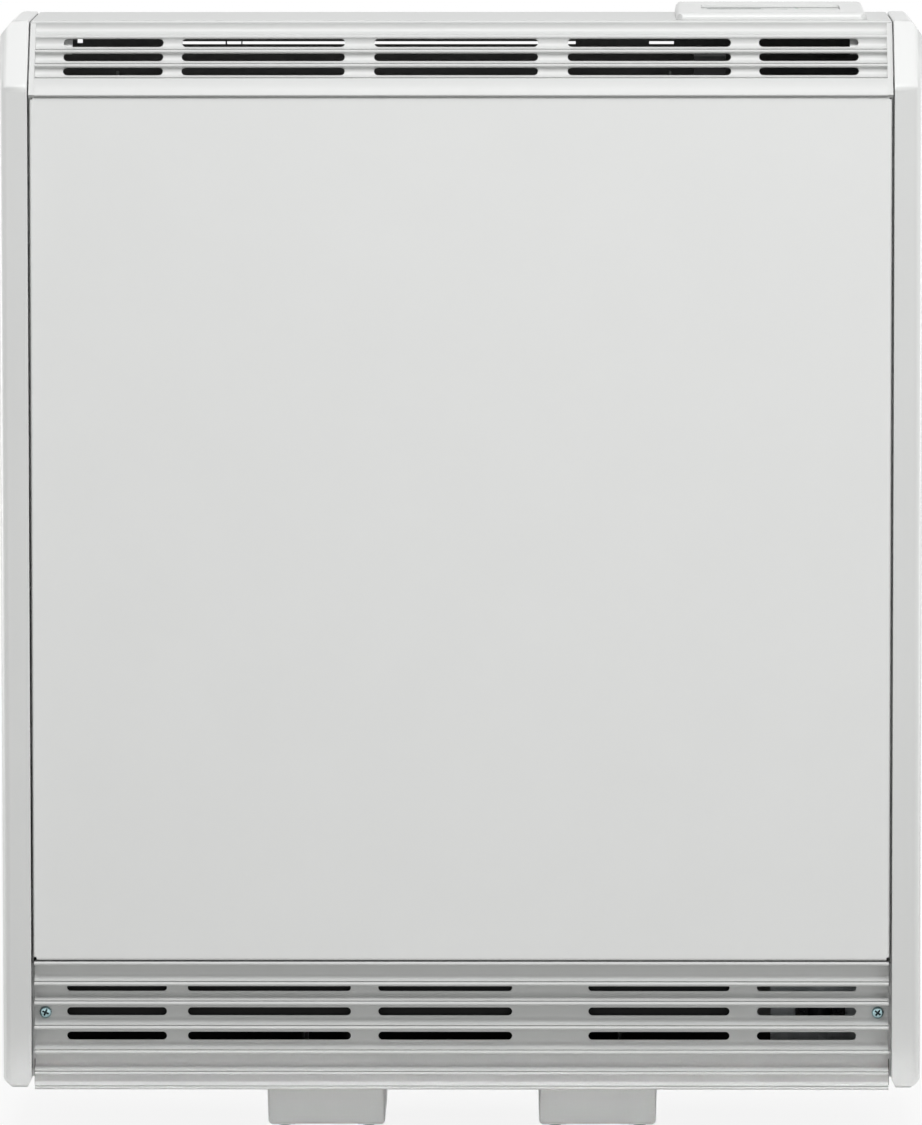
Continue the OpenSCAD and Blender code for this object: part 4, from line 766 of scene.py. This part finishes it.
cutters = bmesh.new()
for rib in RIBS:
    row = foot + up * (rib - SLOT_BELOW_RIB)
    for x0, x1 in OUTLET_SLOTS:
        peg(cutters, x0, x1, OUTLET_SLOT, sloping(row, SLOT_START), sloping(row, SLOT_END, SLOT_RISE))
cut_by(outlet_grille, cutters)
stand_for(outlet_grille, "upper_grille", shaded_grille_coat)
print("outlet slots", len(RIBS) * len(OUTLET_SLOTS), "faces", len(outlet_grille.data.polygons))

# %% [markdown]
# ## The intake grille
# Cool air enters near the floor, behind thin rounded ribs. This too could be an extrusion. Between two ribs
# the wall curves forward and ends in a narrow lip just over the lower rib, with a fine groove between them:
# the groove draws a dark line and the lip a bright one. The outline starts at the top and follows the front
# down, rib by rib, because each rib repeats the same few curves.

# %% Intake grille
INTAKE_X = 271.0
INTAKE_Y = -73.5
INTAKE_Z = (29.5, 111.2)
INTAKE_WALL_Y = INTAKE_Y + 9
INTAKE_BACK_Y = INTAKE_WALL_Y + 1.6
RIB = 2.5
NOSES = [53.1, 68.75, 84.4]
TOP_NOSE = 96.9
LOW_LIP = 1.8
GROOVE = 0.5
GROOVE_IN, GROOVE_FLOOR = 1.1, 0.05
LIP_R = 0.22
KNEE_RISE = 1.9
WHOLE_COVE = (INTAKE_WALL_Y, INTAKE_Y + 2, 4.2, LIP_R)
RIB_ROWS = [
    # rib's middle and height; the wall over it, its lip, the cove's radius, the lip's radius
    (TOP_NOSE, RIB, (INTAKE_WALL_Y - 2.5, INTAKE_Y + 2, 3.4, LIP_R)),
    *((z, RIB, WHOLE_COVE) for z in reversed(NOSES)),
    (39.6, 2.1, (INTAKE_WALL_Y, INTAKE_Y + 0.5, 4.2, 0.42)),
    (INTAKE_Z[0] + LOW_LIP / 2, LOW_LIP, (INTAKE_Y + 3, INTAKE_Y + 1, 1.6, LIP_R)),
]


def nose(z, height):
    """The rounded front of a rib, from its top to its underside."""
    return arc((INTAKE_Y + height / 2, z), height / 2, 90, 270)


def cove(floor, wall, lip, radius, lip_r):
    """The wall's curve forward to its lip, then back through the groove to the rib's top."""
    knee_z = floor + GROOVE + LIP_R + KNEE_RISE
    knee = Vector((wall, knee_z))
    reach = Vector((lip + lip_r - wall, floor + GROOVE + 2 * lip_r - knee_z))
    slant = math.degrees(math.atan2(-reach.y, -reach.x))
    half = math.radians((90 + slant) / 2)
    centre = (wall - radius, knee.y + radius / math.tan(half))
    curve = arc(centre, radius, 0, -(180 - 2 * math.degrees(half)))
    curve += arc((lip + lip_r, floor + GROOVE + lip_r), lip_r, 90, 270)
    return curve + [(lip + GROOVE_IN, floor + GROOVE_FLOOR)]


outline = [(INTAKE_BACK_Y, INTAKE_Z[1])] + nose(INTAKE_Z[1] - RIB / 2, RIB)
for z, height, (wall, lip, radius, lip_r) in RIB_ROWS:
    outline += [(wall, outline[-1][1])] + cove(z + height / 2, wall, lip, radius, lip_r) + nose(z, height)
outline += [(INTAKE_BACK_Y, INTAKE_Z[0])]
form = bmesh.new()
sweep(form, outline, -INTAKE_X, INTAKE_X)
intake_grille = shown(form, "intake_grille")
print("intake ribs", len(RIB_ROWS) + 1, "outline points", len(outline))

# %% [markdown]
# ## Slots and screw seats of the intake grille
# Three rows of slots lie in the wall, close under the rib above, again with two short and three long ones
# in a row. At each end a round seat is cut through the lip, so a screw's head can lie against the wall.

# %% Intake slots and screw seats
INTAKE_SLOTS = [(-250.7, -187.23), (-173.93, -70.28), (-52.88, 32.18), (80.58, 170.23), (187.63, 250.7)]
SLOT_ROWS = [(NOSES[1] - 6.05, 5.2), (NOSES[2] - 6.05, 5.2), (TOP_NOSE - 3.45, 4.2)]  # middle, height
SLOT_Y = (INTAKE_WALL_Y - 1, INTAKE_BACK_Y + 2)
SCREW_X, SCREW_Z = 264.3, NOSES[2] - 6.5
SEAT_Y = (INTAKE_Y + 1.9, INTAKE_WALL_Y)
SEAT_R = 4.1
SEAT_FLAT = 0.01  # the short straight part between a peg's round ends


def level(y, z):
    """Places a peg's end at a depth y and level with z."""
    return lambda x, h: (x, y, z + h)


cutters = bmesh.new()
for z, height in SLOT_ROWS:
    for x0, x1 in INTAKE_SLOTS:
        peg(cutters, x0, x1, height, *(level(y, z) for y in SLOT_Y))
for x in (-SCREW_X, SCREW_X):
    peg(cutters, x - SEAT_R - SEAT_FLAT, x + SEAT_R + SEAT_FLAT, 2 * SEAT_R,
        *(level(y, SCREW_Z) for y in SEAT_Y))
cut_by(intake_grille, cutters)
stand_for(intake_grille, "lower_grille", shaded_grille_coat)
print("intake slots", len(SLOT_ROWS) * len(INTAKE_SLOTS), "faces", len(intake_grille.data.polygons))

# %% [markdown]
# ## The two pan screws
# The intake grille is held by two zinc-plated pan screws. A screw's blank is best made as it would be on a
# lathe: its section is carried round its axis in small steps.

# %% Pan screws
SCREW_STEPS = 40
HEAD_R, HEAD_EDGE_R, HEAD_EDGE_Y, HEAD_TOP_Y = 3.8, 1.5, -0.8, -2.6
SCREW_SECTION = [(0.0, 9.0), (1.6, 9.0), (2.1, 8.4), (2.1, 0.0), (HEAD_R, 0.0)]  # radius, place on the axis
SCREW_SECTION += [(HEAD_R - HEAD_EDGE_R + u, v + HEAD_EDGE_Y) for u, v in arc((0, 0), HEAD_EDGE_R, 0, -75)]
SCREW_SECTION += [(0.0, HEAD_TOP_Y)]


def turned(form, section, centre):
    """Carries a section of (radius, y) points round the Y axis through a centre."""
    rings = []
    for radius, y in section:
        angles = [2 * math.pi * i / SCREW_STEPS for i in range(SCREW_STEPS if radius else 1)]
        rings.append([form.verts.new((Vector((radius * math.cos(a), y, radius * math.sin(a))) + centre) * MM)
                      for a in angles])
    for low, high in zip(rings, rings[1:]):
        for i in range(SCREW_STEPS):
            j = (i + 1) % SCREW_STEPS
            corners = [low[i % len(low)], low[j % len(low)], high[j % len(high)], high[i % len(high)]]
            form.faces.new(list(dict.fromkeys(corners)))


screw_centres = [Vector((x, INTAKE_WALL_Y, SCREW_Z)) for x in (-SCREW_X, SCREW_X)]
form = bmesh.new()
for centre in screw_centres:
    turned(form, SCREW_SECTION, centre)
bmesh.ops.recalc_face_normals(form, faces=form.faces)
pan_screws = shown(form, "pan_screws")
print("screws at", [[round(v, 1) for v in centre] for centre in screw_centres])

# %% [markdown]
# ## The cross recess
# The recess is stamped by a cross-shaped punch that narrows towards its point, so it is cut with such a
# cross. Each screw stands turned a little, as a driver leaves it. The recess gets the darker zinc, which is
# painted shade.

# %% Cross recess
RECESS_ARM, RECESS_HALF = 2.35, 0.62
RECESS_ENDS = ((1.15, -3.2), (0.5, -0.5))  # the cross's scale and place on the axis, mouth then point
RECESS_TURN = (24.0, 38.0)  # degrees
DOME_NORMAL = -0.8  # faces of the dome look forward more than this
RECESS_DEEP_Y = INTAKE_WALL_Y - 0.7
HEAD_BACK_Y = INTAKE_WALL_Y - 0.3
w, arm = RECESS_HALF, RECESS_ARM
CROSS = [(w, w), (arm, w), (arm, -w), (w, -w), (w, -arm), (-w, -arm),
         (-w, -w), (-arm, -w), (-arm, w), (-w, w), (-w, arm), (w, arm)]

cutters = bmesh.new()
for centre, degrees in zip(screw_centres, RECESS_TURN):
    spin = Matrix.Rotation(math.radians(degrees), 3, "Y")
    mouth, point = ([cutters.verts.new((spin @ Vector((u * k, y, v * k)) + centre) * MM) for u, v in CROSS]
                    for k, y in RECESS_ENDS)
    sides = [cutters.faces.new((mouth[i - 1], mouth[i], point[i], point[i - 1])) for i in range(len(CROSS))]
    ends = [cutters.faces.new(mouth), cutters.faces.new(point)]
    bmesh.ops.recalc_face_normals(cutters, faces=sides + ends)
cut_by(pan_screws, cutters)
stand_for(pan_screws, "grille_screws", zinc_plated)
pan_screws.data.materials.append(recess_shade_zinc)
for face in pan_screws.data.polygons:
    out_of_axis = (Vector((abs(face.center.x), face.center.z)) / MM - Vector((SCREW_X, SCREW_Z))).length
    behind_dome = face.normal.y > DOME_NORMAL or face.center.y > RECESS_DEEP_Y * MM
    if out_of_axis < RECESS_ARM and behind_dome and face.center.y < HEAD_BACK_Y * MM:
        face.material_index = 1
print("screw faces", len(pan_screws.data.polygons))

# %% [markdown]
# ## Smooth curves and sharp edges
# Nothing real has a perfectly sharp edge: folded sheet, moulded plastic and powder-coated cuts all round
# off by a few tenths of a millimetre, and that edge catches a thin line of light. The nodes' meshes stay as
# they are, and modifiers do the rest. Two node groups serve them: one shades the small steps of a rounding
# as one smooth curve, and one finds the long front edges where a sheet is folded.

# %% Node groups for shading and bends
SMOOTH_BELOW = math.radians(40)
BEVEL_ABOVE = math.radians(50)
LONG_EDGE_MM = 60
BEND_AHEAD_OF_MM = -74.5


def geometry_tree(name):
    """A new geometry node group with one mesh in and one out. Returns it and the mesh that comes in."""
    tree = bpy.data.node_groups.new(name, "GeometryNodeTree")
    for way in ("INPUT", "OUTPUT"):
        tree.interface.new_socket("Geometry", in_out=way, socket_type="NodeSocketGeometry")
    return tree, add(tree, "NodeGroupInput").outputs[0]


def smooth_by_angle():
    """A node group that shades everything smooth, except across edges sharper than SMOOTH_BELOW."""
    tree, start = geometry_tree("smooth by angle")
    faces = add(tree, "GeometryNodeSetShadeSmooth", {"Geometry": start, "Shade Smooth": True}, domain="FACE")
    angle = add(tree, "GeometryNodeInputMeshEdgeAngle").outputs["Unsigned Angle"]
    soft = add(tree, "FunctionNodeCompare", {"A": angle, "B": SMOOTH_BELOW}, operation="LESS_EQUAL")
    rest = {"Geometry": faces.outputs[0], "Shade Smooth": soft.outputs[0]}
    edges = add(tree, "GeometryNodeSetShadeSmooth", rest, domain="EDGE")
    add(tree, "NodeGroupOutput", {"Geometry": edges.outputs[0]})
    return tree


def mark_long_edges():
    """A node group that marks the sharp edges longer than LONG_EDGE_MM at the very front, for a bend."""
    tree, start = geometry_tree("mark long edges")
    ends = add(tree, "GeometryNodeInputMeshEdgeVertices").outputs
    span = add(tree, "ShaderNodeVectorMath", {0: ends["Position 1"], 1: ends["Position 2"]},
               operation="DISTANCE").outputs["Value"]
    angle = add(tree, "GeometryNodeInputMeshEdgeAngle").outputs["Signed Angle"]
    point = add(tree, "GeometryNodeInputPosition").outputs[0]
    middle = add(tree, "ShaderNodeSeparateXYZ", {0: point}).outputs["Y"]
    tests = ((span, "GREATER_THAN", LONG_EDGE_MM * MM), (angle, "GREATER_THAN", BEVEL_ABOVE),
             (middle, "LESS_THAN", BEND_AHEAD_OF_MM * MM))
    marked = True
    for value, test, limit in tests:
        passed = add(tree, "FunctionNodeCompare", {"A": value, "B": limit}, operation=test).outputs[0]
        marked = add(tree, "FunctionNodeBooleanMath", {0: marked, 1: passed}, operation="AND").outputs[0]
    weight = {"Geometry": start, "Name": "bevel_weight_edge", "Value": marked}
    kept = add(tree, "GeometryNodeStoreNamedAttribute", weight, data_type="FLOAT", domain="EDGE")
    add(tree, "NodeGroupOutput", {"Geometry": kept.outputs[0]})
    return tree


SMOOTHING = smooth_by_angle()
LONG_EDGES = mark_long_edges()
print("node groups", SMOOTHING.name, "/", LONG_EDGES.name)

# %% [markdown]
# ## Softened edges
# The loose faces of a node are welded and its flat ones merged, then what is sharp gets its bevel. The
# folded panel has wider bends than the cut edges of a sheet, and moulded parts have the smallest radii. The
# last step keeps large flat faces evenly lit beside their rounded edges.

# %% Edge rounding
WELD_MM = 0.002
FLAT_WITHIN = math.radians(0.5)
BEND_SEGMENTS = 5
EDGE_SEGMENTS = 3
FLAT_WEIGHT = 80


def modify(piece, name, kind, **settings):
    """Adds a modifier with its settings."""
    modifier = piece.modifiers.new(name, kind)
    for setting, value in settings.items():
        setattr(modifier, setting, value)


def soften(piece, edge_mm, bend_mm):
    """Rounds a piece's sharp edges by edge_mm, and the bends of a folded sheet first by bend_mm."""
    modify(piece, "weld", "WELD", merge_threshold=WELD_MM * MM)
    modify(piece, "merge flat faces", "DECIMATE", decimate_type="DISSOLVE", angle_limit=FLAT_WITHIN)
    if bend_mm:
        modify(piece, "mark bends", "NODES", node_group=LONG_EDGES)
        modify(piece, "bends", "BEVEL", width=bend_mm * MM, segments=BEND_SEGMENTS, limit_method="WEIGHT",
               use_clamp_overlap=False)
    modify(piece, "soft edges", "BEVEL", width=edge_mm * MM, segments=EDGE_SEGMENTS, limit_method="ANGLE",
           angle_limit=BEVEL_ABOVE, use_clamp_overlap=False, miter_outer="MITER_ARC")
    modify(piece, "smooth by angle", "NODES", node_group=SMOOTHING)
    modify(piece, "even flats", "WEIGHTED_NORMAL", mode="FACE_AREA", weight=FLAT_WEIGHT, keep_sharp=True)


EDGE_MM = {
    "front_panel": 0.35, "top_cover": 0.35, "left_cheek": 0.3, "right_cheek": 0.3, "control_pod": 0.25,
    "pod_fascia": 0.2, "left_foot_cover": 0.3, "right_foot_cover": 0.3, "pod_tray": 0.2,
    "display_window": 0.2, "display_module": 0.2,
}
BEND_MM = {"front_panel": 1.2}
for name, edge_mm in EDGE_MM.items():
    soften(nodes[name], edge_mm, BEND_MM.get(name, 0))
print("softened", len(EDGE_MM), "nodes")
